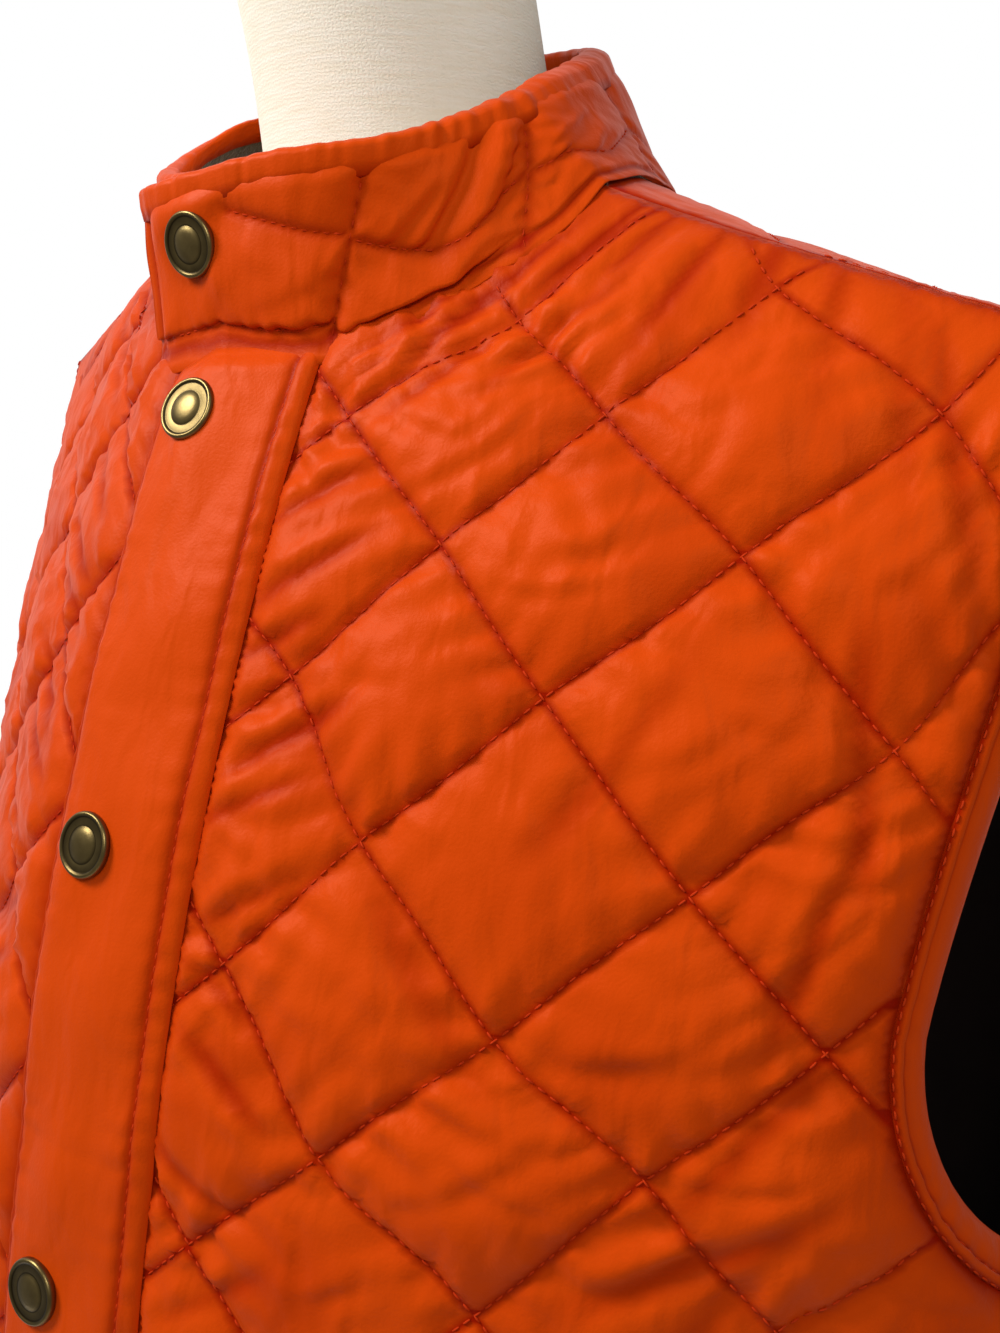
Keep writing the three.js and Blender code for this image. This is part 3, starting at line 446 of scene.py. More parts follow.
def make_object(name, points, faces, materials, uv=None, groove=None, slots=None, placed=worn):
    """Mesh object at the origin, its points given in millimetres; faces are triangles or quads."""
    points = placed(np.asarray(points))
    mesh = bpy.data.meshes.new(name)
    mesh.vertices.add(len(points))
    mesh.vertices.foreach_set("co", (points * MM).astype(np.float32).ravel())
    corners = faces.shape[1]
    mesh.loops.add(faces.size)
    mesh.loops.foreach_set("vertex_index", faces.astype(np.int32).ravel())
    mesh.polygons.add(len(faces))
    mesh.polygons.foreach_set("loop_start", np.arange(0, faces.size, corners, dtype=np.int32))
    mesh.polygons.foreach_set("use_smooth", np.ones(len(faces), dtype=bool))
    if slots is not None:
        mesh.polygons.foreach_set("material_index", slots.astype(np.int32))
    mesh.update(calc_edges=True)
    if uv is not None:
        layer = mesh.uv_layers.new(name="cloth")
        layer.data.foreach_set("uv", (uv[faces.ravel()] * MM).astype(np.float32).ravel())
    # The groove attribute is painted shade on the cloth; on the brass it is the dark finish left in the
    # hollows
    if groove is not None:
        layer = mesh.attributes.new("groove", "FLOAT", "POINT")
        layer.data.foreach_set("value", groove.astype(np.float32))
    for material in materials:
        mesh.materials.append(material)
    obj = bpy.data.objects.new(name, mesh)
    bpy.context.scene.collection.objects.link(obj)
    return obj


def grid_faces(columns, rows, first=0, ring=False):
    """Quads of a grid whose points run along rows first; ring joins the last column to the first."""
    last = columns if ring else columns - 1
    i, j = np.meshgrid(np.arange(last), np.arange(rows - 1), indexing="ij")
    here = i * rows + j
    there = ((i + 1) % columns) * rows + j
    return first + np.stack([here, there, there + 1, here + 1], axis=-1).reshape(-1, 4)


def wall(outer, inner, faces):
    """Closed wall between two skins on the same faces: the inner ones turned round, the rims joined."""
    count = len(outer)
    edges = np.stack([faces, np.roll(faces, -1, axis=1)], axis=-1).reshape(-1, 2)
    keys = edges[:, 0].astype(np.int64) * count + edges[:, 1]
    back_keys = edges[:, 1].astype(np.int64) * count + edges[:, 0]
    rim = edges[~np.isin(keys, back_keys)]
    sides = np.stack([rim[:, 1], rim[:, 0], rim[:, 0] + count, rim[:, 1] + count], axis=-1)
    all_faces = np.concatenate([faces, faces[:, ::-1] + count, sides])
    slots = np.concatenate([np.zeros(len(faces)), np.ones(len(faces)), np.zeros(len(sides))])
    return np.concatenate([outer, inner]), all_faces, slots


def turned_out(points, faces, normals):
    """The faces, turned round if they look against the normals."""
    a, b, c = (points[faces[:, k]] for k in range(3))
    facing = np.einsum("ij,ij->i", np.cross(b - a, c - a), normals[faces[:, 0]])
    return faces if facing.sum() > 0 else faces[:, ::-1]


def tube_faces(stations, around, ring=False):
    """Triangles between rings of points. ring joins the last ring to the first; otherwise a fan closes
    each end, and the two fans' middles are the last two points."""
    i, j = np.meshgrid(np.arange(stations if ring else stations - 1), np.arange(around), indexing="ij")
    here = i * around
    there = (i + 1) % stations * around
    following = (j + 1) % around
    quads = np.stack([here + j, here + following, there + following, there + j], axis=-1).reshape(-1, 4)
    tris = [quads[:, [0, 1, 2]], quads[:, [0, 2, 3]]]
    if not ring:
        first = np.arange(around)
        last = (stations - 1) * around + first
        middle = np.full(around, stations * around)
        tris.append(np.stack([np.roll(first, -1), first, middle], axis=-1))
        tris.append(np.stack([last, np.roll(last, -1), middle + 1], axis=-1))
    return np.concatenate(tris)


def outwards(points, tris):
    """The triangles of a closed shape, turned round if they look inwards: then its volume is negative."""
    a, b, c = (points[tris[:, k]] - points.mean(axis=0) for k in range(3))
    volume = np.einsum("ij,ij->i", a, np.cross(b, c)).sum()
    return tris if volume > 0 else tris[:, ::-1]


def sweep(sections, ring=False, middles=None):
    """Closed section (stations, points round it, 3) carried along its stations, as triangles. Its ends
    are closed round the given middles, or else round their own."""
    stations, around, _ = sections.shape
    points = sections.reshape(-1, 3)
    if not ring:
        ends = sections[[0, -1]].mean(axis=1) if middles is None else middles
        points = np.concatenate([points, ends])
    return points, outwards(points, tube_faces(stations, around, ring))


def lathe(profile, sides, place, axis):
    """Profile rows (radius, height) turned about an axis through a place; its ends lie on the axis."""
    profile = np.asarray(profile)
    axis = unit(np.asarray(axis, dtype=float))
    helper = np.array([0.0, 0.0, 1.0]) if abs(axis[2]) < 0.9 else np.array([0.0, 1.0, 0.0])
    side = unit(np.cross(helper, axis))
    front = np.cross(axis, side)
    angle = np.arange(sides) / sides * 2 * math.pi
    ring = np.cos(angle)[:, None] * side + np.sin(angle)[:, None] * front
    body = profile[1:-1]
    rings = place + body[:, None, 1:2] * axis + body[:, None, 0:1] * ring[None]
    return sweep(rings, middles=[place + profile[0, 1] * axis, place + profile[-1, 1] * axis])


# Stitches

# A stitch from end to end: place along it, how full it is and how far it stands up, as parts of its own
STITCH_SPINDLE = [
    dict(along=-0.36, full=0.8, lift=0.0), dict(along=0.0, full=1.0, lift=0.25),
    dict(along=0.36, full=0.8, lift=0.0),
]
# Its two tips
STITCH_TIPS = [dict(along=-0.5, lift=-0.5), dict(along=0.5, lift=-0.5)]
# How deep a stitch lies in the cloth, and how far ahead its direction is read
STITCH_SINK = 0.12
STITCH_LOOK_AHEAD = 0.6


def lengths_along(points):
    """Length from the first point to each of the others along them."""
    return np.concatenate([[0], np.cumsum(np.linalg.norm(np.diff(points, axis=0), axis=1))])


def values_at(at, lengths, values):
    """Rows of three numbers, interpolated at places along a line."""
    return np.stack([np.interp(at, lengths, values[:, k]) for k in range(3)], axis=-1)


def stitch_frames(points, normals, pitch):
    """Middles, directions and normals of stitches set a pitch apart along one track."""
    lengths = lengths_along(points)
    if lengths[-1] < 2 * pitch:
        return None
    at = np.arange(pitch, lengths[-1] - pitch / 2, pitch)
    middle = values_at(at, lengths, points)
    ahead = values_at(at + STITCH_LOOK_AHEAD, lengths, points)
    return middle, unit(ahead - middle), unit(values_at(at, lengths, normals))


def stitches(name, tracks, material, length=2.4, pitch=3.4, thick=0.6, sides=6):
    """Thread along tracks of (points, normals): each stitch is three rings and two tips of a low spindle,
    sunk a little into the cloth, and all are joined into one mesh."""
    frames = [stitch_frames(points, normals, pitch) for points, normals in tracks]
    frames = [f for f in frames if f is not None]
    middle, ahead, normal = (np.concatenate([f[k] for f in frames]) for k in range(3))
    side = np.cross(normal, ahead)
    angle = np.arange(sides) / sides * 2 * math.pi
    round_it = np.cos(angle)[:, None] * side[:, None] + np.sin(angle)[:, None] * normal[:, None]
    rings = []
    for row in STITCH_SPINDLE + STITCH_TIPS:
        rise = row["lift"] * thick / 2 - STITCH_SINK
        centre = (middle + ahead * row["along"] * length + normal * rise)[:, None]
        rings.append(centre + thick / 2 * row["full"] * round_it if "full" in row else centre)
    points = np.concatenate(rings, axis=1)
    per_stitch = points.shape[1]
    one = outwards(points[0], tube_faces(len(STITCH_SPINDLE), sides))
    faces = (one[None] + per_stitch * np.arange(len(points))[:, None, None]).reshape(-1, 3)
    return make_object(name, points.reshape(-1, 3), faces, [material])


# Materials

# Sizes of their patterns
NYLON_WEAVE = 0.9  # the real threads are 0.2 mm apart, too fine to show
NYLON_CLOUDS = 45.0
NYLON_PULLS = 13.0
NYLON_PULL_TURN = (0.35, 0.25, 0.0)
NYLON_PULL_STRETCH = (1.0, 1.0, 0.4)
THREAD_TWIST = 0.5
TAFFETA_CLOUDS = 20.0
PILE_NAP = 1.5
BRASS_PATCHES = 4.0
BRASS_GRAIN = 0.6
LINEN_THREADS = 1.1  # the real threads are 0.6 mm apart
LINEN_SLUBS = 12.0
STEEL_RINGS = 1.2
STEEL_WEAR = 30.0
# A wave pattern repeats at this part of its scale
WAVE_REPEAT = 0.314
# Sockets of the node that mixes two colours, by number
COLOUR_MIX = {"data_type": "RGBA"}
MIX_PART = 0
MIX_ONE = 6
MIX_OTHER = 7
MIX_RESULT = 2


def per_metre(size):
    """How many times a pattern of a size in millimetres fits in a metre, which is its scale."""
    return 1 / (size * MM)


def new_material(name):
    """A material with its node tree and its shader."""
    material = bpy.data.materials.new(name)
    material.use_nodes = True
    return material, material.node_tree, material.node_tree.nodes["Principled BSDF"]


def set_inputs(tree, node, inputs):
    """Each input takes its value, or a link where the value is another node's socket."""
    for key, value in inputs.items():
        if isinstance(value, bpy.types.NodeSocket):
            tree.links.new(value, node.inputs[key])
        else:
            node.inputs[key].default_value = value


def add_node(tree, kind, settings=None, inputs=None):
    """Adds a node; settings are its attributes, inputs its sockets' values or the sockets linked to them."""
    node = tree.nodes.new(kind)
    for key, value in (settings or {}).items():
        setattr(node, key, value)
    set_inputs(tree, node, inputs or {})
    return node


def satin_nylon():
    """Woven nylon with a satin face: a broad soft sheen over a fine weave and long soft pull lines,
    with painted shade: a darker red where the cloth dips into the stitching, along the seams and in the
    folds."""
    material, tree, shader = new_material("satin_nylon_orange")
    place = add_node(tree, "ShaderNodeTexCoord").outputs["Object"]
    clouds = add_node(tree, "ShaderNodeTexNoise", None,
                      {"Vector": place, "Scale": per_metre(NYLON_CLOUDS), "Detail": 3.0})
    cloth = add_node(tree, "ShaderNodeMix", COLOUR_MIX, {
        MIX_PART: clouds.outputs["Fac"], MIX_ONE: to_linear(0xCA4106), MIX_OTHER: to_linear(0xD24708)})
    # Painted shade: where the groove attribute is high, the cloth's colour is mixed towards the dark red
    # 0x941400
    dip = add_node(tree, "ShaderNodeAttribute", {"attribute_name": "groove"})
    colour = add_node(tree, "ShaderNodeMix", COLOUR_MIX, {
        MIX_PART: dip.outputs["Fac"], MIX_ONE: cloth.outputs[MIX_RESULT], MIX_OTHER: to_linear(0x941400)})
    weave = add_node(tree, "ShaderNodeTexNoise", None,
                     {"Vector": place, "Scale": per_metre(NYLON_WEAVE), "Detail": 2.0})
    pulled = add_node(tree, "ShaderNodeMapping", None,
                      {"Vector": place, "Rotation": NYLON_PULL_TURN, "Scale": NYLON_PULL_STRETCH})
    pulls = add_node(tree, "ShaderNodeTexNoise", None, {
        "Vector": pulled.outputs["Vector"], "Scale": per_metre(NYLON_PULLS), "Detail": 2.0,
        "Distortion": 0.4})
    height = add_node(tree, "ShaderNodeMath", {"operation": "MULTIPLY_ADD"},
                      {0: weave.outputs["Fac"], 1: 0.05, 2: pulls.outputs["Fac"]})
    relief = add_node(tree, "ShaderNodeBump", None,
                      {"Height": height.outputs[0], "Strength": 0.5, "Distance": 0.0035})
    set_inputs(tree, shader, {
        "Base Color": colour.outputs[MIX_RESULT],
        "Roughness": 0.44,
        "Specular IOR Level": 0.13,
        "Specular Tint": to_linear(0xFF8A4A),
        "Sheen Weight": 0.3,
        "Sheen Roughness": 0.35,
        "Sheen Tint": to_linear(0xFF5A1C),
        "Normal": relief.outputs["Normal"],
    })
    return material


def thread():
    """Spun polyester thread: matt, a little darker than the cloth."""
    material, tree, shader = new_material("polyester_thread")
    place = add_node(tree, "ShaderNodeTexCoord").outputs["Object"]
    twist = add_node(tree, "ShaderNodeTexNoise", None, {"Vector": place, "Scale": per_metre(THREAD_TWIST)})
    relief = add_node(tree, "ShaderNodeBump", None,
                      {"Height": twist.outputs["Fac"], "Strength": 0.3, "Distance": 0.0001})
    set_inputs(tree, shader, {
        "Base Color": to_linear(0xBE3408),
        "Roughness": 0.8,
        "Specular IOR Level": 0.1,
        "Normal": relief.outputs["Normal"],
    })
    return material


def dark_lining():
    """Brown taffeta lining: nearly black inside the vest, with a dull shine."""
    material, tree, shader = new_material("taffeta_lining")
    place = add_node(tree, "ShaderNodeTexCoord").outputs["Object"]
    clouds = add_node(tree, "ShaderNodeTexNoise", None,
                      {"Vector": place, "Scale": per_metre(TAFFETA_CLOUDS)})
    colour = add_node(tree, "ShaderNodeMix", COLOUR_MIX, {
        MIX_PART: clouds.outputs["Fac"], MIX_ONE: to_linear(0x1E1412), MIX_OTHER: to_linear(0x2A1C18)})
    relief = add_node(tree, "ShaderNodeBump", None,
                      {"Height": clouds.outputs["Fac"], "Strength": 0.3, "Distance": 0.001})
    set_inputs(tree, shader, {
        "Base Color": colour.outputs[MIX_RESULT],
        "Roughness": 0.5,
        "Normal": relief.outputs["Normal"],
    })
    return material


def pile_cloth():
    """Short cotton pile, as on cord: brown, matt, with a soft nap."""
    material, tree, shader = new_material("cotton_pile")
    place = add_node(tree, "ShaderNodeTexCoord").outputs["Object"]
    nap = add_node(tree, "ShaderNodeTexNoise", None,
                   {"Vector": place, "Scale": per_metre(PILE_NAP), "Detail": 3.0})
    colour = add_node(tree, "ShaderNodeMix", COLOUR_MIX, {
        MIX_PART: nap.outputs["Fac"], MIX_ONE: to_linear(0x33281A), MIX_OTHER: to_linear(0x6B5636)})
    relief = add_node(tree, "ShaderNodeBump", None,
                      {"Height": nap.outputs["Fac"], "Strength": 0.8, "Distance": 0.0008})
    set_inputs(tree, shader, {
        "Base Color": colour.outputs[MIX_RESULT],
        "Roughness": 0.95,
        "Sheen Weight": 0.4,
        "Normal": relief.outputs["Normal"],
    })
    return material


def antique_brass():
    """Pressed brass with a dark finish rubbed off its high places: dull gold, soft reflections."""
    material, tree, shader = new_material("antique_brass")
    place = add_node(tree, "ShaderNodeTexCoord").outputs["Object"]
    patches = add_node(tree, "ShaderNodeTexNoise", None,
                       {"Vector": place, "Scale": per_metre(BRASS_PATCHES), "Detail": 4.0})
    rubbed = add_node(tree, "ShaderNodeMix", COLOUR_MIX, {
        MIX_PART: patches.outputs["Fac"], MIX_ONE: to_linear(0x5C4C2C), MIX_OTHER: to_linear(0x8E7A4C)})
    dip = add_node(tree, "ShaderNodeAttribute", {"attribute_name": "groove"})
    colour = add_node(tree, "ShaderNodeMix", COLOUR_MIX, {
        MIX_PART: dip.outputs["Fac"], MIX_ONE: rubbed.outputs[MIX_RESULT], MIX_OTHER: to_linear(0x2E2414)})
    grain = add_node(tree, "ShaderNodeTexNoise", None, {"Vector": place, "Scale": per_metre(BRASS_GRAIN)})
    relief = add_node(tree, "ShaderNodeBump", None,
                      {"Height": grain.outputs["Fac"], "Strength": 0.2, "Distance": 0.0001})
    set_inputs(tree, shader, {
        "Base Color": colour.outputs[MIX_RESULT],
        "Metallic": 1.0,
        "Roughness": 0.36,
        "Normal": relief.outputs["Normal"],
    })
    return material


def linen():
    """Coarse unbleached linen: plain weave with thicker slubs in the threads."""
    material, tree, shader = new_material("linen")
    place = add_node(tree, "ShaderNodeTexCoord").outputs["Object"]
    threads = []
    for turn in ((0.0, 0.0, 0.0), (0.0, math.pi / 2, 0.0)):
        laid = add_node(tree, "ShaderNodeMapping", None, {"Vector": place, "Rotation": turn})
        wave = add_node(tree, "ShaderNodeTexWave", {"bands_direction": "X"}, {
            "Vector": laid.outputs["Vector"], "Scale": WAVE_REPEAT * per_metre(LINEN_THREADS),
            "Distortion": 6.0, "Detail Scale": 2.0})
        threads.append(wave.outputs["Fac"])
    weave = add_node(tree, "ShaderNodeMath", {"operation": "MAXIMUM"}, {0: threads[0], 1: threads[1]})
    stretched = add_node(tree, "ShaderNodeMapping", None, {"Vector": place, "Scale": (1.0, 1.0, 9.0)})
    slubs = add_node(tree, "ShaderNodeTexNoise", None, {
        "Vector": stretched.outputs["Vector"], "Scale": per_metre(LINEN_SLUBS), "Detail": 3.0})
    height = add_node(tree, "ShaderNodeMath", {"operation": "ADD"},
                      {0: weave.outputs[0], 1: slubs.outputs["Fac"]})
    colour = add_node(tree, "ShaderNodeMix", COLOUR_MIX, {
        MIX_PART: slubs.outputs["Fac"], MIX_ONE: to_linear(0xF2E6CA), MIX_OTHER: to_linear(0xFFFAEC)})
    relief = add_node(tree, "ShaderNodeBump", None,
                      {"Height": height.outputs[0], "Strength": 0.22, "Distance": 0.0004})
    set_inputs(tree, shader, {
        "Base Color": colour.outputs[MIX_RESULT],
        "Roughness": 0.92,
        "Normal": relief.outputs["Normal"],
    })
    return material


def brushed_steel():
    """Turned and brushed steel: fine rings, broad dull reflections."""
    material, tree, shader = new_material("brushed_steel")
    place = add_node(tree, "ShaderNodeTexCoord").outputs["Object"]
    rings = add_node(tree, "ShaderNodeTexWave", {"wave_type": "RINGS", "rings_direction": "Z"},
                     {"Vector": place, "Scale": WAVE_REPEAT * per_metre(STEEL_RINGS), "Distortion": 1.5})
    wear = add_node(tree, "ShaderNodeTexNoise", None, {"Vector": place, "Scale": per_metre(STEEL_WEAR)})
    colour = add_node(tree, "ShaderNodeMix", COLOUR_MIX, {
        MIX_PART: wear.outputs["Fac"], MIX_ONE: to_linear(0xC2C0BA), MIX_OTHER: to_linear(0xDAD8D2)})
    relief = add_node(tree, "ShaderNodeBump", None,
                      {"Height": rings.outputs["Fac"], "Strength": 0.1, "Distance": 0.0001})
    set_inputs(tree, shader, {
        "Base Color": colour.outputs[MIX_RESULT],
        "Metallic": 1.0,
        "Roughness": 0.34,
        "Normal": relief.outputs["Normal"],
    })
    return material


def pale_floor():
    """Matt painted board: pale and even."""
    material, tree, shader = new_material("matt_board")
    set_inputs(tree, shader, {"Base Color": to_linear(0xF4F4F2), "Roughness": 0.9})
    return material


NYLON = satin_nylon()
THREAD = thread()
TAFFETA = dark_lining()
PILE = pile_cloth()
BRASS = antique_brass()
LINEN = linen()
STEEL = brushed_steel()


# Quilted panels

# Crossings of the left front's stitching that wandered from the even grid
LEFT_WANDER = [
    dict(p=159, q=236, over=-7, up=-1), dict(p=196, q=200, over=4, up=0), dict(p=85, q=236, over=3, up=-8),
    dict(p=122, q=200, over=-4, up=2), dict(p=159, q=165, over=0, up=3), dict(p=196, q=129, over=6, up=-4),
    dict(p=85, q=165, over=-1, up=3), dict(p=122, q=129, over=-3, up=3), dict(p=159, q=94, over=2, up=-3),
    dict(p=48, q=129, over=3, up=2), dict(p=85, q=94, over=-5, up=0), dict(p=122, q=58, over=0, up=-5),
    dict(p=159, q=22, over=1, up=4), dict(p=196, q=-13, over=-4, up=8), dict(p=85, q=22, over=-3, up=-5),
    dict(p=122, q=-13, over=3, up=2),
]
WANDER_REACH = 19.0

# Folds placed on the left front: where, which way, how long, wide and deep; with a negative
# depth they stand up between the others
LEFT_CREASES = [
    dict(p=92, q=250, angle=48, length=72, width=3.2, depth=2.7, bow=4),
    dict(p=80, q=240, angle=52, length=64, width=2.6, depth=2.3, bow=-3),
    dict(p=104, q=256, angle=56, length=58, width=2.8, depth=2.4),
    dict(p=66, q=232, angle=50, length=50, width=2.4, depth=1.9),
    dict(p=118, q=260, angle=62, length=54, width=2.6, depth=2.0),
    dict(p=54, q=222, angle=46, length=42, width=2.2, depth=1.6),
    dict(p=44, q=208, angle=40, length=34, width=2.4, depth=1.3),
    dict(p=74, q=214, angle=44, length=40, width=3.0, depth=1.4, bow=3),
    dict(p=98, q=222, angle=50, length=40, width=3.4, depth=1.3, bow=-3),
    dict(p=132, q=250, angle=72, length=60, width=3.0, depth=1.6, bow=3),
    dict(p=150, q=262, angle=84, length=80, width=4.5, depth=1.5),
    dict(p=166, q=250, angle=96, length=90, width=5.0, depth=1.5, bow=5),
    dict(p=186, q=226, angle=104, length=80, width=4.5, depth=1.3, bow=-4),
    dict(p=204, q=196, angle=110, length=64, width=4.0, depth=1.2),
    dict(p=86, q=245, angle=50, length=66, width=2.6, depth=-2.4, bow=2),
    dict(p=98, q=253, angle=53, length=60, width=2.6, depth=-2.2),
    dict(p=73, q=236, angle=50, length=56, width=2.4, depth=-2.0, bow=-2),
    dict(p=60, q=227, angle=48, length=46, width=2.4, depth=-1.8),
    dict(p=111, q=258, angle=58, length=56, width=2.6, depth=-1.9, bow=2),
    dict(p=49, q=214, angle=44, length=36, width=2.2, depth=-1.5),
    dict(p=126, q=256, angle=66, length=54, width=3.0, depth=-1.5),
    dict(p=46, q=178, angle=38, length=34, width=2.4, depth=1.3),
    dict(p=50, q=158, angle=34, length=38, width=2.8, depth=1.5, bow=2),
    dict(p=44, q=140, angle=30, length=30, width=2.2, depth=1.3),
    dict(p=54, q=116, angle=36, length=40, width=2.8, depth=1.5, bow=-2),
    dict(p=46, q=98, angle=28, length=32, width=2.4, depth=1.4),
    dict(p=52, q=74, angle=32, length=38, width=2.8, depth=1.4),
    dict(p=46, q=52, angle=150, length=30, width=2.4, depth=1.2),
    dict(p=54, q=30, angle=146, length=36, width=2.8, depth=1.3, bow=2),
    dict(p=46, q=4, angle=152, length=32, width=2.6, depth=1.2),
    dict(p=56, q=-24, angle=34, length=36, width=3.0, depth=1.2),
    dict(p=190, q=80, angle=75, length=54, width=3.4, depth=1.3),
    dict(p=196, q=120, angle=100, length=60, width=3.6, depth=1.3),
    dict(p=184, q=40, angle=50, length=50, width=3.2, depth=1.3, bow=-3),
    dict(p=176, q=10, angle=28, length=56, width=3.6, depth=1.3, bow=4),
    dict(p=140, q=120, angle=58, length=50, width=5.0, depth=1.1, bow=5),
    dict(p=104, q=60, angle=130, length=56, width=5.0, depth=1.0, bow=-6),
    dict(p=150, q=-30, angle=40, length=90, width=6.0, depth=1.3, bow=8),
    dict(p=120, q=-190, angle=24, length=120, width=8.0, depth=1.2, bow=10),
    dict(p=210, q=-250, angle=110, length=110, width=7.0, depth=1.2, bow=-8),
]
# The right front has the same ones mirrored, and the hidden back a few long ones
RIGHT_CREASES = [dict(row, p=-row["p"], angle=180 - row["angle"], bow=-row.get("bow", 0.0))
                 for row in LEFT_CREASES]
BACK_CREASES = [
    dict(p=30, q=262, angle=80, length=50, width=3.0, depth=1.2),
    dict(p=-26, q=258, angle=104, length=54, width=3.0, depth=1.2, bow=3),
    dict(p=64, q=262, angle=62, length=46, width=2.6, depth=1.1),
    dict(p=-70, q=264, angle=118, length=48, width=2.8, depth=1.1),
    dict(p=110, q=150, angle=60, length=90, width=6.0, depth=1.0, bow=6),
    dict(p=-120, q=130, angle=118, length=100, width=6.0, depth=1.0, bow=-6),
    dict(p=150, q=-120, angle=30, length=120, width=8.0, depth=1.0, bow=8),
    dict(p=-140, q=-180, angle=152, length=120, width=8.0, depth=1.0, bow=-8),
    dict(p=10, q=-260, angle=12, length=140, width=9.0, depth=0.9, bow=8),
]


def quilt_place(column, down, across):
    """Stitched lines lie at whole numbers of down and across."""
    p = column + QUILT_HALF_WIDTH * (across - down)
    q = QUILT_TOP_Q - QUILT_HALF_HEIGHT * (across + down)
    return p, q


def near_crossing(p, q, row):
    """1 at a crossing, fading with the distance from it as a bell curve does."""
    return np.exp(-((p - row["p"]) ** 2 + (q - row["q"]) ** 2) / (2 * WANDER_REACH ** 2))


def wandered(p, q, wander):
    """Places of the even grid, each moved with the crossings near it."""
    for row in wander:
        near = near_crossing(p, q, row)
        p = p + row["over"] * near
        q = q + row["up"] * near
    return p, q


def quilt_numbers(column, p, q, wander):
    """down and across of a place, after the stitching's wander is taken off."""
    over = sum((row["over"] * near_crossing(p, q, row) for row in wander), np.zeros_like(p))
    up = sum((row["up"] * near_crossing(p, q, row) for row in wander), np.zeros_like(q))
    along = (p - over - column) / QUILT_HALF_WIDTH
    fall = (QUILT_TOP_Q - q + up) / QUILT_HALF_HEIGHT
    return (fall - along) / 2, (fall + along) / 2


# Squares of one random draw, more than any panel has in a row
SQUARES = 64
# A square's pillow: its highest place lies below the middle, and its fullness differs
PILLOW_SAG = 1.22
PILLOW_POWER = 0.43
PILLOW_FULLNESS = (0.86, 1.14)
# Small folds in each square, in ranges, with a ridge beside each
SQUARE_FOLDS = 7
FOLD_PLACE = (-17, 17)
FOLD_LENGTH = (9, 24)
FOLD_WIDTH = (1.7, 4.0)
FOLD_DEPTH = (0.2, 0.8)
FOLD_BOW = 0.012
FOLD_RIDGE = dict(height=0.6, away=1.7)
# Crimps along a stitched line: height, length of a wave, reach from the line, and the draws' numbers
LINE_CRIMPS = [
    dict(height=0.62, wave=6.5, reach=6.0, more=0, seed=5),
    dict(height=0.8, wave=15.0, reach=12.0, more=40, seed=6),
]
CRIMP_LEAN = 0.4
CRIMP_START = 1.6


def pillow(down, across, seed):
    """Height of the quilting: a pillow in each square, fuller below its middle, with crimps along the
    stitched lines and a few folds of its own; also how near the stitching is."""
    rng = np.random.default_rng(seed)
    row = np.floor(down).astype(int) % SQUARES
    col = np.floor(across).astype(int) % SQUARES

    def drawn(low, high):
        """A random number for each square, given at each place."""
        return rng.uniform(low, high, (SQUARES, SQUARES))[row, col]

    part_down = down - np.floor(down)
    part_across = across - np.floor(across)
    round_down = 4 * part_down ** PILLOW_SAG * (1 - part_down ** PILLOW_SAG)
    round_across = 4 * part_across ** PILLOW_SAG * (1 - part_across ** PILLOW_SAG)
    height = QUILT_RISE * drawn(*PILLOW_FULLNESS) * (round_down * round_across) ** PILLOW_POWER

    x = (part_across - 0.5) * QUILT_SIDE
    y = (part_down - 0.5) * QUILT_SIDE
    for _ in range(SQUARE_FOLDS):
        dx = x - drawn(*FOLD_PLACE)
        dy = y - drawn(*FOLD_PLACE)
        turned = drawn(0, math.pi)
        long = drawn(*FOLD_LENGTH)
        wide = drawn(*FOLD_WIDTH)
        deep = drawn(*FOLD_DEPTH)
        along = dx * np.cos(turned) + dy * np.sin(turned)
        t = (dy * np.cos(turned) - dx * np.sin(turned) - FOLD_BOW * along ** 2) / wide
        trough = np.exp(-t ** 2) - FOLD_RIDGE["height"] * np.exp(-(t - FOLD_RIDGE["away"]) ** 2)
        height = height - deep * np.exp(-(along / long) ** 2) * trough

    to_down = np.minimum(part_down, 1 - part_down) * QUILT_SIDE
    to_across = np.minimum(part_across, 1 - part_across) * QUILT_SIDE
    lines = [
        (to_down, np.round(down), part_down > 0.5, across),
        (to_across, np.round(across), part_across > 0.5, down),
    ]
    for near, line, side, along in lines:
        length = along * QUILT_SIDE + CRIMP_LEAN * near
        for kind in LINE_CRIMPS:
            wave = crimps(length, line * 2 + side + kind["more"], kind["wave"], seed + kind["seed"])
            rise = kind["height"] * wave * np.exp(-near / kind["reach"])
            height = height + rise * np.minimum(near / CRIMP_START, 1.0)
    return height, np.minimum(to_down, to_across)


# How a panel lies along its edges: the pillows pressed flat, gathered along the seam, folds fading out
SEAM_PRESS = dict(reach=11.0, power=0.6)
SEAM_GATHER = dict(height=0.8, wave=8.0, reach=9.0, lean=0.8, start=2.0)
SEAM_FOLD_FADE = 10.0
UNEVENNESS = dict(height=0.35, size=60)
SHOULDER_LEAST = 0.2
# Shade of the grooves: how far it reaches from the stitching and the seams, and in deep folds
GROOVE_REACH = 1.0
SEAM_GROOVE_REACH = 2.6
FOLD_SHADE = dict(most=0.85, depth=1.9)


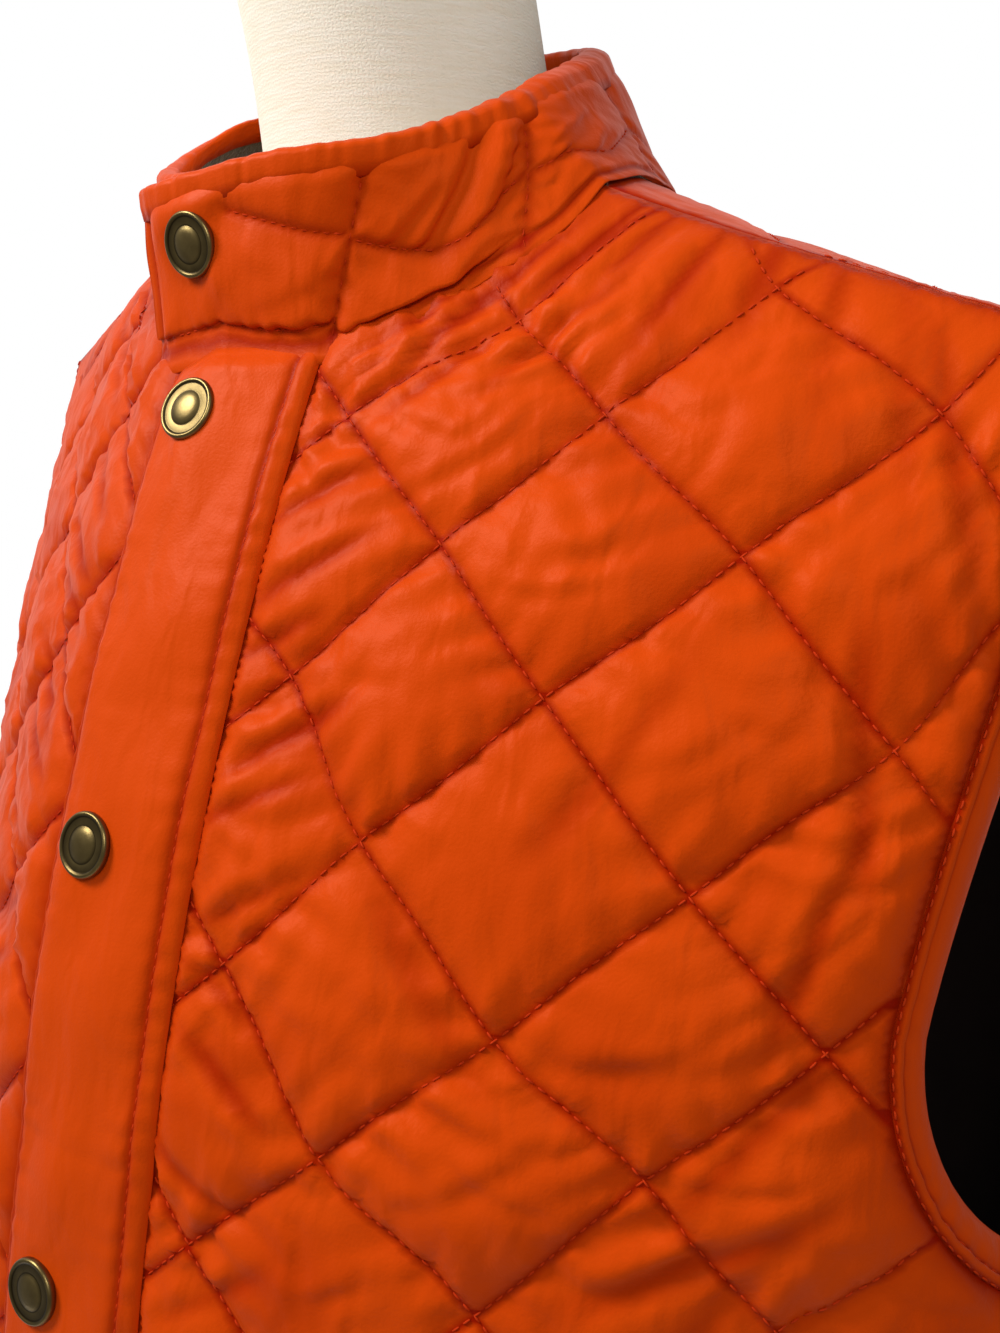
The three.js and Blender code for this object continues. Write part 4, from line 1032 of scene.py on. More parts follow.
def panel_height(panel, p, q, edge):
    """Height off the body surface: pillows, flatter beside the seams and up on the shoulder, with the
    placed folds and a soft unevenness; also the groove's shade."""
    seed = panel["seed"]
    down, across = quilt_numbers(panel["column"], p, q, panel["wander"])
    height, to_line = pillow(down, across, seed)
    pressed = np.clip(edge / SEAM_PRESS["reach"], 0, 1) ** SEAM_PRESS["power"]
    wave = crimps(p + SEAM_GATHER["lean"] * q, 0, SEAM_GATHER["wave"], seed + 9)
    fade = np.exp(-np.maximum(edge, 0) / SEAM_GATHER["reach"]) * np.minimum(edge / SEAM_GATHER["start"], 1)
    height = height * pressed + SEAM_GATHER["height"] * wave * fade
    uneven = UNEVENNESS["height"] * ripples(p, q, UNEVENNESS["size"], seed + 3)
    folds = creases(p, q, panel["folds"]) + uneven
    height = np.maximum(height + folds * ease(edge / SEAM_FOLD_FADE), 0.0)
    below_shoulder = (shoulder_q(panel["cut"], p) - q) / SHOULDER_FLAT[panel["cut"]["facing"]]
    height = height * (SHOULDER_LEAST + (1 - SHOULDER_LEAST) * ease(below_shoulder))
    groove = np.maximum(np.exp(-to_line / GROOVE_REACH), np.exp(-np.maximum(edge, 0) / SEAM_GROOVE_REACH))
    shade = FOLD_SHADE["most"] * np.clip(-folds / FOLD_SHADE["depth"], 0, 1)
    return height, np.maximum(groove, shade)


# Stitched lines that a panel's mesh and thread are laid on, before they are cut to its edges
FIRST_LINE = -7
LAST_LINE = 18
HIGHEST_Q = 400
RIM_STEP = 0.4
RIM_MOVES = 4
RIM_FARTHEST = 3
RIM_LEAST_SLOPE = 0.2


def drawn_to_rim(panel, p, q):
    """Places moved onto the panel's cut lines, down the slope of their distance inside it."""
    inside = panel["inside"]
    for _ in range(RIM_MOVES):
        value = inside(p, q)
        slope_p = (inside(p + RIM_STEP, q) - inside(p - RIM_STEP, q)) / (2 * RIM_STEP)
        slope_q = (inside(p, q + RIM_STEP) - inside(p, q - RIM_STEP)) / (2 * RIM_STEP)
        steep = np.maximum(slope_p ** 2 + slope_q ** 2, RIM_LEAST_SLOPE)
        p, q = (p - np.clip(value * slope_p / steep, -RIM_FARTHEST, RIM_FARTHEST),
                q - np.clip(value * slope_q / steep, -RIM_FARTHEST, RIM_FARTHEST))
    return p, q


def quilted_panel(panel):
    """A panel on a mesh laid along its stitching, its rim drawn onto the cut lines."""
    cut = panel["cut"]
    steps = panel["steps"]
    numbers = np.arange(FIRST_LINE * steps, LAST_LINE * steps + 1) / steps
    down, across = np.meshgrid(numbers, numbers, indexing="ij")
    p, q = wandered(*quilt_place(panel["column"], down, across), panel["wander"])

    # Only the quads whose middle lies inside the cut lines stay
    q_limit = np.clip(q, HEM_Q - 20, HIGHEST_Q)
    p_limit = np.clip(p, -cut["side_p"], cut["side_p"])
    depth = panel["inside"](p_limit, q_limit) - np.abs(p - p_limit)
    middle = (depth[:-1, :-1] + depth[1:, 1:] + depth[1:, :-1] + depth[:-1, 1:]) / 4
    rows = len(numbers)
    i, j = np.nonzero(middle > 0)
    first = i * rows + j
    faces = np.stack([first, first + 1, first + rows + 1, first + rows], axis=-1)
    used, faces = np.unique(faces.ravel(), return_inverse=True)
    faces = faces.reshape(-1, 4)
    p = p.ravel()[used]
    q = q.ravel()[used]

    rim = np.bincount(faces.ravel(), minlength=len(used)) < 4
    p[rim], q[rim] = drawn_to_rim(panel, p[rim], q[rim])
    p = np.clip(p, -cut["side_p"], cut["side_p"])
    q = np.minimum(q, shoulder_q(cut, p))

    edge = np.maximum(np.minimum(panel["inside"](p, q), panel["shown"](p, q)), 0)
    height, groove = panel_height(panel, p, q, edge)
    normal = shell_normal(cut, p, q)
    at = shell(cut, p, q)
    outer = at + normal * height[:, None]
    faces = turned_out(outer, faces, normal)
    flat = np.stack([p, q], axis=-1)
    a, b, c, d = (flat[faces[:, k]] for k in range(4))
    area = np.abs(np.cross(c - a, d - b)).sum() / 2
    points, all_faces, slots = wall(outer, at - normal * WALL, faces)
    obj = make_object(panel["name"], points, all_faces, [NYLON, TAFFETA], uv=np.tile(flat, (2, 1)),
                      groove=np.tile(groove, 2), slots=slots)
    return obj, area


# Thread along the stitched lines: how near the cut edges it starts, how high it lies, and how far apart
# two places may be before the line counts as broken
THREAD_STEP = 0.04
THREAD_EDGE = 2.5
THREAD_LIFT = 0.3
THREAD_BREAK = 8
THREAD_HIGHEST_Q = 380
THREAD_LEAST = 3


def quilt_stitches(panel):
    """Thread along every stitched line of a panel, on its folds."""
    cut = panel["cut"]
    numbers = np.arange(FIRST_LINE, LAST_LINE + THREAD_STEP / 4, THREAD_STEP)
    tracks = []
    for line in range(FIRST_LINE, LAST_LINE + 1):
        fixed = np.full_like(numbers, line)
        for down, across in ((fixed, numbers), (numbers, fixed)):
            p, q = wandered(*quilt_place(panel["column"], down, across), panel["wander"])
            good = (np.abs(p) < cut["side_p"]) & (q < THREAD_HIGHEST_Q)
            p = p[good]
            q = q[good]
            if len(p) < THREAD_LEAST:
                continue
            keep = panel["inside"](p, q) > THREAD_EDGE
            p = p[keep]
            q = q[keep]
            if len(p) < THREAD_LEAST:
                continue
            normal = shell_normal(cut, p, q)
            edge = np.maximum(np.minimum(panel["inside"](p, q), panel["shown"](p, q)), 0)
            height, _ = panel_height(panel, p, q, edge)
            points = shell(cut, p, q) + normal * (height + THREAD_LIFT)[:, None]
            far = np.linalg.norm(np.diff(points, axis=0), axis=1) > THREAD_BREAK
            breaks = np.nonzero(far)[0] + 1
            parts = zip(np.split(points, breaks), np.split(normal, breaks))
            tracks += [part for part in parts if len(part[0]) > THREAD_LEAST]
    return stitches(panel["name"] + "_stitches", tracks, THREAD, sides=panel["sides"])


def inside_left(p, q):
    """Distance inside all cut lines of the left front, which runs a lap under the placket's seam."""
    return np.minimum(nearest_edge(FRONT, p, q), p - (PLACKET_SEAM_P - PLACKET_LAP))


def inside_right(p, q):
    """The same of the right front, which ends under the placket."""
    return np.minimum(nearest_edge(FRONT, p, q), RIGHT_FRONT_EDGE_P - p)


def inside_back(p, q):
    """The same of the back."""
    return nearest_edge(BACK, p, q)


def shown_left(p, _):
    """How far the left front lies clear of the placket, which presses it flat."""
    return PRESSED_REST + PRESSED_LEFT_GROWTH * np.maximum(p - PLACKET_SEAM_P, 0)


def shown_right(p, _):
    """The same of the right front."""
    return PRESSED_REST + np.maximum(PLACKET_FREE_P - p, 0)


PANELS = [
    dict(name="left_front", node="front_left", cut=FRONT, column=FRONT["column"], steps=26, sides=6,
         inside=inside_left, shown=shown_left, seed=11, wander=LEFT_WANDER, folds=LEFT_CREASES),
    dict(name="right_front", node="front_right", cut=FRONT, column=-FRONT["column"], steps=18, sides=4,
         inside=inside_right, shown=shown_right, seed=23, wander=[], folds=RIGHT_CREASES),
    dict(name="quilted_back", node="back", cut=BACK, column=BACK["column"], steps=16, sides=3,
         inside=inside_back, shown=inside_back, seed=37, wander=[], folds=BACK_CREASES),
]


def make_panels():
    """Fronts and back with their stitching, attached to the root; the model's panels are hidden."""
    made = []
    for panel in PANELS:
        obj, area = quilted_panel(panel)
        sewn = quilt_stitches(panel)
        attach(obj, "root")
        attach(sewn, "root")
        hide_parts(panel["node"])
        made.append((obj, sewn, area))
    return made


# Placket

PLACKET_COLUMNS = 48
PLACKET_STEPS = 360
PLACKET_CROWDING = 0.06
# Its two rows of topstitching, by their place across
PLACKET_ROWS = [dict(at=PLACKET_SPAN - 6.0, seed=3), dict(at=1.8, seed=4)]
PLACKET_THREAD_POINTS = 900
# Its padding: fuller away from its edges, a crown, a dip at its seam, and the pull of the topstitching
PLACKET_FULL = dict(least=0.55, more=0.75, reach=5.0)
PLACKET_CROWN = dict(height=1.3, power=0.8)
PLACKET_SEAM_DIP = dict(depth=1.1, reach=2.0)
PLACKET_PULL = dict(depth=1.2, reach=1.1)
PLACKET_CRIMP = dict(height=0.34, wave=9.0, reach=5.0, start=1.5)
PLACKET_SOFT = dict(height=0.7, size=34, across=1.5, along=0.5, reach=8.0)
PLACKET_TOP_LEAST = 0.3
PLACKET_TOP_FADE = 8.0
PLACKET_SHADE = dict(most=0.95, reach=1.2)


def neck_q(p, out):
    """Length up from the chest to a distance outside the neckline, by halving."""
    low = np.full_like(p, 100.0)
    high = shoulder_q(FRONT, p)
    for _ in range(30):
        middle = (low + high) / 2
        inside = inside_neck(FRONT, p, middle) > out
        low = np.where(inside, middle, low)
        high = np.where(inside, high, middle)
    return low


def placket_p(across):
    """Girth at a part of the placket's width."""
    return PLACKET_FREE_P + PLACKET_SPAN * across


def placket_top(across):
    """Its slanted top edge, which runs up under the collar's seam."""
    return neck_q(placket_p(across), PLACKET_TOP_CLEAR - PLACKET_TOP_SLANT * across)


def placket_height(across, q):
    """Outer height of the placket: a padded strip, pulled down along its two rows of topstitching."""
    a = across * PLACKET_SPAN
    to_seam = PLACKET_SPAN - a
    edge = np.minimum(a, to_seam)
    full = PLACKET_FULL["least"] + PLACKET_FULL["more"] * np.clip(edge / PLACKET_FULL["reach"], 0, 1) ** 0.5
    body = PLACKET_THICK * full - PLACKET_SEAM_DIP["depth"] * np.exp(-to_seam / PLACKET_SEAM_DIP["reach"])
    arch = np.sin(math.pi * np.clip(a / PLACKET_ROWS[0]["at"], 0, 1))
    body = body + PLACKET_CROWN["height"] * arch ** PLACKET_CROWN["power"]
    for row in PLACKET_ROWS:
        away = np.abs(a - row["at"])
        wave = crimps(q, 1 + (a > row["at"]), PLACKET_CRIMP["wave"], row["seed"])
        fade = np.exp(-away / PLACKET_CRIMP["reach"]) * np.minimum(away / PLACKET_CRIMP["start"], 1)
        body = body + PLACKET_CRIMP["height"] * wave * fade
        body = body - PLACKET_PULL["depth"] * np.exp(-away / PLACKET_PULL["reach"])
    soft = ripples(a * PLACKET_SOFT["across"], q * PLACKET_SOFT["along"], PLACKET_SOFT["size"], 91)
    body = body + PLACKET_SOFT["height"] * soft * np.clip(edge / PLACKET_SOFT["reach"], 0, 1)
    below_top = ease((placket_top(across) - q) / PLACKET_TOP_FADE)
    return PLACKET_CLEAR + body * (PLACKET_TOP_LEAST + (1 - PLACKET_TOP_LEAST) * below_top)


def placket_point(across, q, out):
    """Place at a height off the body surface."""
    p = placket_p(across)
    return shell(FRONT, p, q) + shell_normal(FRONT, p, q) * np.asarray(out)[..., None]


def make_placket():
    """A strip from the hem up to its slanted top, its columns closer together at both edges."""
    even = np.linspace(0, 1, PLACKET_COLUMNS)
    uneven = even - PLACKET_CROWDING * np.sin(2 * math.pi * even)
    across, up = np.meshgrid(uneven, np.linspace(0, 1, PLACKET_STEPS), indexing="ij")
    q = HEM_Q + (placket_top(across) - HEM_Q) * up
    p = placket_p(across)
    outer = placket_point(across, q, placket_height(across, q)).reshape(-1, 3)
    inner = placket_point(across, q, np.full_like(q, PLACKET_CLEAR)).reshape(-1, 3)
    normals = shell_normal(FRONT, p, q).reshape(-1, 3)
    faces = turned_out(outer, grid_faces(PLACKET_COLUMNS, PLACKET_STEPS), normals)
    points, all_faces, _ = wall(outer, inner, faces)
    away = np.minimum.reduce([np.abs(across * PLACKET_SPAN - row["at"]) for row in PLACKET_ROWS])
    groove = (PLACKET_SHADE["most"] * np.exp(-away / PLACKET_SHADE["reach"])).ravel()
    uv = np.tile(np.stack([p, q], axis=-1).reshape(-1, 2), (2, 1))
    obj = make_object("placket_strip", points, all_faces, [NYLON], uv=uv, groove=np.tile(groove, 2))

    top = float(neck_q(np.array([0.0]), PLACKET_TOP_CLEAR)[0]) - 2
    line_q = np.linspace(HEM_Q + 3, top, PLACKET_THREAD_POINTS)
    tracks = []
    for row in PLACKET_ROWS:
        line = np.full(PLACKET_THREAD_POINTS, row["at"] / PLACKET_SPAN)
        on = placket_point(line, line_q, placket_height(line, line_q) + 0.1)
        tracks.append((on, shell_normal(FRONT, placket_p(line), line_q)))
    sewn = stitches("placket_stitches", tracks, THREAD)
    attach(obj, "root")
    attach(sewn, "root")
    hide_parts("placket")
    return obj, sewn


# Collar

def shell_height(x, y):
    """Height of the body surface under a plan place."""
    z = np.zeros(np.broadcast(x, y).shape)
    for cut, here in ((FRONT, y < SHOULDER_LINE_Y), (BACK, y >= SHOULDER_LINE_Y)):
        part = (y - SHOULDER_LINE_Y) / (chest_y(cut, np.abs(x)) - SHOULDER_LINE_Y)
        turn = np.arccos(np.clip(part, 0, 1) ** (1 / cut["shoulder_round"]))
        z = np.where(here, slope_height(x) * np.sin(turn) ** cut["chest_round"], z)
    return CHEST_HEIGHT + z + neck_rise(x, y)


def lap_at(angle):
    """1 where the collar's end lies over the other, fading to 0 round the side."""
    return 1 - ease((angle - COLLAR_LAP_FULL) / (COLLAR_LAP_GONE - COLLAR_LAP_FULL))


def oval_point(oval, angle, out):
    """Plan place on an oval in a true direction from its centre."""
    depth = depth_of(oval, np.cos(angle) > 0)
    across = np.abs(np.sin(angle) / (oval["half_width"] + out)) ** OVAL_POWER
    along = np.abs(np.cos(angle) / (depth + out)) ** OVAL_POWER
    radius = (across + along) ** (-1 / OVAL_POWER)
    return radius * np.sin(angle), oval["centre_y"] - radius * np.cos(angle)


def collar_set(angle, column):
    """A column of the collar's set at each angle, eased between its rows."""
    turns = np.radians([row["turn"] for row in COLLAR_SET])
    values = [row[column] for row in COLLAR_SET]
    spread = np.radians(COLLAR_SET_SPREAD)
    return sum(np.interp(angle + s, turns, values) for s in spread) / len(spread)


def collar_base(angle, out):
    """The collar's lower edge: the neckline's oval, on the body surface."""
    out = out + COLLAR_LAP * lap_at(angle) + collar_set(angle, "base")
    x, y = oval_point(NECK, angle, out)
    return np.stack([x, y, shell_height(x, y) + COLLAR_LIFT], axis=-1)


def collar_rim(angle, out):
    """The collar's upper edge: an oval that slopes down to the front."""
    x, y = oval_point(RIM, angle, out + COLLAR_LAP * lap_at(angle))
    _, rim_y = oval_point(RIM, angle, 0 * angle)
    slope = np.where(rim_y < 0, RIM_FRONT_SLOPE, RIM_BACK_SLOPE)
    return np.stack([x, y, RIM_HEIGHT + rim_y * slope + collar_set(angle, "rim")], axis=-1)


def collar_point(angle, level, out):
    """Place between the two edges, along a straight line."""
    base = collar_base(angle, out)
    return base + (collar_rim(angle, out) - base) * np.asarray(level)[..., None]


# The collar laid flat: girth for each radian, less at the front, where its oval is tight, and height
COLLAR_RADIUS = 80.0
COLLAR_FRONT_RADIUS = COLLAR_RADIUS * 0.72
COLLAR_TALL = 44.0
COLLAR_COLUMNS = 360
COLLAR_ROWS = 54
LINING_COLUMNS = 220
LINING_ROWS = 18
# Stitched lines on the collar, from one place to another, in degrees and level; seams run up it
COLLAR_SEAMS = [dict(start=base, start_level=0.05, end=base + lean, end_level=0.85)
                for base, lean in ((36, 9.5), (71, 9), (107, 5), (143, 2), (180, 0), (217, -2), (253, -5),
                                   (289, -9), (324, -9))]
COLLAR_QUILTING = [
    dict(start=8, start_level=0.78, end=41, end_level=0.56),
    dict(start=41, start_level=0.54, end=59, end_level=0.29),
    dict(start=59, start_level=0.29, end=75, end_level=0.47),
    dict(start=76, start_level=0.45, end=92, end_level=0.24),
    dict(start=92, start_level=0.24, end=110, end_level=0.5),
    dict(start=110, start_level=0.5, end=128, end_level=0.27),
    dict(start=128, start_level=0.27, end=145, end_level=0.5),
    dict(start=145, start_level=0.5, end=162, end_level=0.27),
    dict(start=162, start_level=0.27, end=180, end_level=0.5),
]
COLLAR_QUILTING += [dict(row, start=360 - row["start"], end=360 - row["end"])
                    for row in COLLAR_QUILTING[3:]]
# Folds on the collar, given in degrees and level: one big one, and small ones by the seams
COLLAR_FOLDS = [
    dict(turn=68.0, level=0.52, angle=56, length=44, width=3.6, depth=-1.9, bow=4),
    dict(turn=64.0, level=0.60, angle=52, length=30, width=2.2, depth=1.0, bow=3),
    dict(turn=73.0, level=0.50, angle=62, length=26, width=2.0, depth=1.1),
    dict(turn=56.0, level=0.55, angle=35, length=22, width=2.4, depth=0.7),
    dict(turn=50.0, level=0.30, angle=150, length=20, width=2.4, depth=0.6),
    dict(turn=84.0, level=0.40, angle=30, length=24, width=2.2, depth=1.0),
    dict(turn=88.0, level=0.55, angle=18, length=22, width=2.0, depth=0.9),
    dict(turn=92.0, level=0.32, angle=42, length=20, width=2.0, depth=0.8),
    dict(turn=24.0, level=0.30, angle=8, length=30, width=3.0, depth=0.5),
    dict(turn=20.0, level=0.62, angle=165, length=26, width=2.6, depth=0.4),
    dict(turn=150.0, level=0.5, angle=60, length=26, width=3.0, depth=0.8),
    dict(turn=200.0, level=0.5, angle=120, length=26, width=3.0, depth=0.8),
    dict(turn=292.0, level=0.52, angle=124, length=40, width=3.6, depth=-1.4, bow=-4),
    dict(turn=276.0, level=0.40, angle=150, length=24, width=2.2, depth=0.9),
]
COLLAR_EDGE_ROW = 2.4
COLLAR_LOW_ROW = 6.2
COLLAR_LOW_ROW_END = math.radians(35)
COLLAR_LOW_ROW_RISE = 0.68
COLLAR_LOW_ROW_FADE = dict(start=math.radians(36), growth=math.radians(3), away=40.0)
COLLAR_SNAP_TURN = math.radians(-12)
# Its padding, the crimps over its base and along its seams, the rolled seam at its base, and the flat
# place round its snap
COLLAR_PUFF = dict(height=2.5, reach=4.0, start=3.4, growth=3.0)
COLLAR_TOP_FADE = 0.16
COLLAR_BASE_CRIMP = dict(height=0.2, wave=11.0, at=7.0, reach=5.0, start=3.0, growth=2.0)
COLLAR_SEAM_CRIMP = dict(height=0.5, wave=9.0, reach=6.0, start=1.2, lean=0.6, patch=40)
COLLAR_SOFT = dict(height=0.5, size=24, around=0.8, up=1.4, reach=4.0)
COLLAR_ROLL = dict(height=2.6, at=1.4, reach=1.6)
COLLAR_SNAP_FLAT = dict(press=0.75, reach=12.0)
COLLAR_LINE_SHADE = dict(most=0.8, reach=0.9)
COLLAR_BASE_SHADE = dict(most=0.9, at=3.6, reach=0.7)


def line_distance(x, y, rows):
    """Distance on the flat collar to the nearest of the stitched lines."""
    nearest = np.full(np.shape(x), 99.0)
    for row in rows:
        ax, bx = (math.radians(row[key]) * COLLAR_RADIUS for key in ("start", "end"))
        ay, by = (row[key] * COLLAR_TALL for key in ("start_level", "end_level"))
        t = ((x - ax) * (bx - ax) + (y - ay) * (by - ay)) / ((bx - ax) ** 2 + (by - ay) ** 2)
        t = np.clip(t, 0, 1)
        nearest = np.minimum(nearest, np.hypot(x - ax - t * (bx - ax), y - ay - t * (by - ay)))
    return nearest


def collar_height(angle, level):
    """Outer height of the collar: padding between the seams and quilting, a rolled seam along the base
    with crimps above it, and its folds; also the groove's shade."""
    x = angle * COLLAR_RADIUS
    y = level * COLLAR_TALL
    to_seam = line_distance(x, y, COLLAR_SEAMS)
    to_line = line_distance(x, y, COLLAR_QUILTING)
    to_front = np.abs((angle - COLLAR_OVER_END) * COLLAR_FRONT_RADIUS - COLLAR_EDGE_ROW)
    past_end = ease((angle - COLLAR_LOW_ROW_FADE["start"]) / COLLAR_LOW_ROW_FADE["growth"])
    to_low = np.abs(y - COLLAR_LOW_ROW) + COLLAR_LOW_ROW_FADE["away"] * past_end
    close = np.minimum.reduce([to_seam, to_line, to_front, to_low])

    above_roll = np.clip((y - COLLAR_PUFF["start"]) / COLLAR_PUFF["growth"], 0, 1)
    height = COLLAR_PUFF["height"] * (1 - np.exp(-close / COLLAR_PUFF["reach"])) * above_roll
    kind = COLLAR_BASE_CRIMP
    fade = np.exp(-np.abs(y - kind["at"]) / kind["reach"]) * ease((y - kind["start"]) / kind["growth"])
    height = height + kind["height"] * crimps(x, 0, kind["wave"], 61) * fade
    kind = COLLAR_SEAM_CRIMP
    wave = crimps(y + x * kind["lean"], np.round(x / kind["patch"]), kind["wave"], 62)
    fade = np.exp(-to_seam / kind["reach"]) * np.minimum(to_seam / kind["start"], 1)
    height = height + kind["height"] * wave * fade
    soft = ripples(x * COLLAR_SOFT["around"], y * COLLAR_SOFT["up"], COLLAR_SOFT["size"], 63)
    height = height + COLLAR_SOFT["height"] * soft * np.clip(close / COLLAR_SOFT["reach"], 0, 1)
    rows = [dict(row, p=math.radians(row["turn"]) * COLLAR_RADIUS, q=row["level"] * COLLAR_TALL)
            for row in COLLAR_FOLDS]
    height = height + creases(x, y, rows)

    by_snap = np.hypot((angle - COLLAR_SNAP_TURN) * COLLAR_FRONT_RADIUS, y - COLLAR_TALL / 2)
    flat = 1 - COLLAR_SNAP_FLAT["press"] * np.exp(-(by_snap / COLLAR_SNAP_FLAT["reach"]) ** 4)
    roll = COLLAR_ROLL["height"] * np.exp(-((y - COLLAR_ROLL["at"]) / COLLAR_ROLL["reach"]) ** 2)
    height = height * ease((1 - level) / COLLAR_TOP_FADE) * flat + roll
    groove = COLLAR_LINE_SHADE["most"] * np.exp(-close / COLLAR_LINE_SHADE["reach"])
    kind = COLLAR_BASE_SHADE
    groove = groove + kind["most"] * np.exp(-((y - kind["at"]) / kind["reach"]) ** 2)
    return np.maximum(height, 0), np.clip(groove, 0, 1)


def collar_wall(columns, rows, outer_at, inner_at):
    """Wall on a grid of angles and levels, with the grid that it stands on."""
    angle, level = np.meshgrid(np.linspace(COLLAR_OVER_END, COLLAR_UNDER_END, columns),
                               np.linspace(0, 1, rows), indexing="ij")
    outer = outer_at(angle, level).reshape(-1, 3)
    inner = inner_at(angle, level).reshape(-1, 3)
    faces = turned_out(outer, grid_faces(columns, rows), outer - inner)
    points, all_faces, _ = wall(outer, inner, faces)
    return angle, level, points, all_faces


def collar_tracks():
    """Angles and levels of the collar's stitched lines: its quilting and seams, then its front edge and
    the row over its base."""
    t = np.linspace(0, 1, 300)
    tracks = []
    for row in COLLAR_QUILTING + COLLAR_SEAMS:
        angle = np.radians(row["start"] + (row["end"] - row["start"]) * t)
        level = row["start_level"] + (row["end_level"] - row["start_level"]) * t
        tracks.append((angle, level))
    edge_angle = COLLAR_OVER_END + COLLAR_EDGE_ROW / COLLAR_FRONT_RADIUS
    low_level = COLLAR_LOW_ROW / COLLAR_TALL
    tracks.append((np.full_like(t, edge_angle), low_level + COLLAR_LOW_ROW_RISE * t))
    tracks.append((edge_angle + (COLLAR_LOW_ROW_END - edge_angle) * t, np.full_like(t, low_level)))
    return tracks


def make_collar():
    """The stand collar with its padding, the pile inside it and its stitching."""
    half = COLLAR_THICK / 2
    angle, level, points, faces = collar_wall(
        COLLAR_COLUMNS, COLLAR_ROWS,
        lambda angle, level: collar_point(angle, level, half + collar_height(angle, level)[0]),
        lambda angle, level: collar_point(angle, level, np.full_like(angle, -half)))
    groove = np.tile(collar_height(angle, level)[1].ravel(), 2)
    uv = np.tile(np.stack([angle * COLLAR_RADIUS, level * COLLAR_TALL], axis=-1).reshape(-1, 2), (2, 1))
    obj = make_object("stand_collar", points, faces, [NYLON], uv=uv, groove=groove)

    face = -half - LINING_CLEAR

    def pile_point(angle, level):
        """The pile's free face, uneven as its nap lies."""
        nap = ripples(angle * COLLAR_RADIUS, level * COLLAR_TALL, LINING_NAP["size"], 71)
        return collar_point(angle, level, face - LINING_THICK - LINING_NAP["height"] * nap)

    _, _, points, faces = collar_wall(
        LINING_COLUMNS, LINING_ROWS,
        lambda angle, level: collar_point(angle, level, np.full_like(angle, face)), pile_point)
    pile = make_object("collar_pile", points, faces, [PILE])

    lines = []
    for angle, level in collar_tracks():
        out = half + collar_height(angle, level)[0] + 0.15
        on = collar_point(angle, level, out)
        lines.append((on, unit(collar_point(angle, level, out + 1) - on)))
    sewn = stitches("collar_stitches", lines, THREAD, length=2.2, pitch=3.1)

    for piece, node, slot_name in ((obj, "collar", "vest_cloth"), (pile, "collar_lining", "collar_pile")):
        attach(piece, "root")
        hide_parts(node)
    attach(sewn, "root")
    return obj, pile, sewn


# Collar binding: its fineness, how far it stands off the rim, and its gathers, tightest by the shoulder
BINDING_COLUMNS = 720
BINDING_ROUND_STEPS = 14
BINDING_FULL = 1.5
BINDING_RADIUS = 78.0
BINDING_GATHERS = dict(turn=math.radians(74), spread=math.radians(24), least=0.05, more=0.24, wave=7.0)
BINDING_UNEVEN = dict(height=0.12, wave=16.0)
BINDING_SHADE = 0.7


def make_binding():
    """The collar's binding: a folded strip over the rim, gathered into small upright folds. Its section
    runs up the outer face, round the rim, down the inner face and back inside."""
    outside = COLLAR_THICK / 2 + LINING_CLEAR
    inside = -COLLAR_THICK / 2 - 2 * LINING_CLEAR - LINING_THICK
    middle = (outside + inside) / 2
    half = (outside - inside) / 2 + BINDING_FULL
    turn = np.linspace(0, math.pi, BINDING_ROUND_STEPS)
    section = [(outside + 0.2, BINDING_DROP), (outside + 0.9, BINDING_DROP - 0.5),
               (outside + BINDING_FULL, BINDING_DROP * 0.5)]
    section += list(zip(middle + half * np.cos(turn), 0.6 - 2.6 * np.sin(turn)))
    section += [(inside - 1.3, BINDING_DROP * 0.5), (inside - 0.9, BINDING_DROP)]
    seen = len(section)
    section += [(inside, BINDING_DROP), (inside, -0.3), (outside, -0.3), (outside, BINDING_DROP - 0.6)]
    outs, drops = np.array(section).T

    angle, out = np.meshgrid(np.linspace(COLLAR_OVER_END, COLLAR_UNDER_END, BINDING_COLUMNS), outs,
                             indexing="ij")
    drop = np.broadcast_to(drops, angle.shape)
    x = angle * BINDING_RADIUS
    near = np.exp(-((angle - BINDING_GATHERS["turn"]) / BINDING_GATHERS["spread"]) ** 2)
    tight = BINDING_GATHERS["least"] + BINDING_GATHERS["more"] * near
    fold = crimps(x + 0.25 * drop, 0, BINDING_GATHERS["wave"], 81) * tight
    fold = fold + BINDING_UNEVEN["height"] * crimps(x, 3, BINDING_UNEVEN["wave"], 82)
    grown = np.where(np.arange(len(outs)) < seen, fold, 0.0)
    sign = np.where(out > middle, 1.0, -1.0)
    top = collar_rim(angle, out + sign * grown * (drop > -1.5))
    down = unit(collar_base(angle, out) - collar_rim(angle, out))
    points, faces = sweep(top + down * (drop - np.where(drop < 0, grown, 0))[..., None])
    shade = np.tile(np.where(np.abs(drops - BINDING_DROP) < 0.7, BINDING_SHADE, 0.0), BINDING_COLUMNS)
    groove = np.concatenate([shade, [0.0, 0.0]])
    obj = make_object("rim_binding", points, faces, [NYLON], groove=groove)
    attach(obj, "root")
    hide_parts("collar_binding")
    return obj


# Armhole bands

def armhole_edge(cut, count):
    """Half of an armhole's edge, from the side seam up to the shoulder."""
    angle = np.arange(count) / count * (math.pi / 2)
    power = 2 / ARMHOLE_LOW_POWER
    p = cut["side_p"] - cut["armhole_depth"] * np.sin(angle) ** power
    q = ARMHOLE_DEEP_Q - (ARMHOLE_DEEP_Q - ARMHOLE_LOW_Q) * np.cos(angle) ** power
    top = float(shoulder_q(cut, girth_at(cut, SHOULDER_POINT_X)))
    high_q = np.linspace(ARMHOLE_DEEP_Q, top, count + 1)
    high_p = armhole_p(cut, high_q)
    p = np.concatenate([p, high_p])
    q = np.concatenate([q, high_q])
    return shell(cut, p, q), shell_normal(cut, p, q)


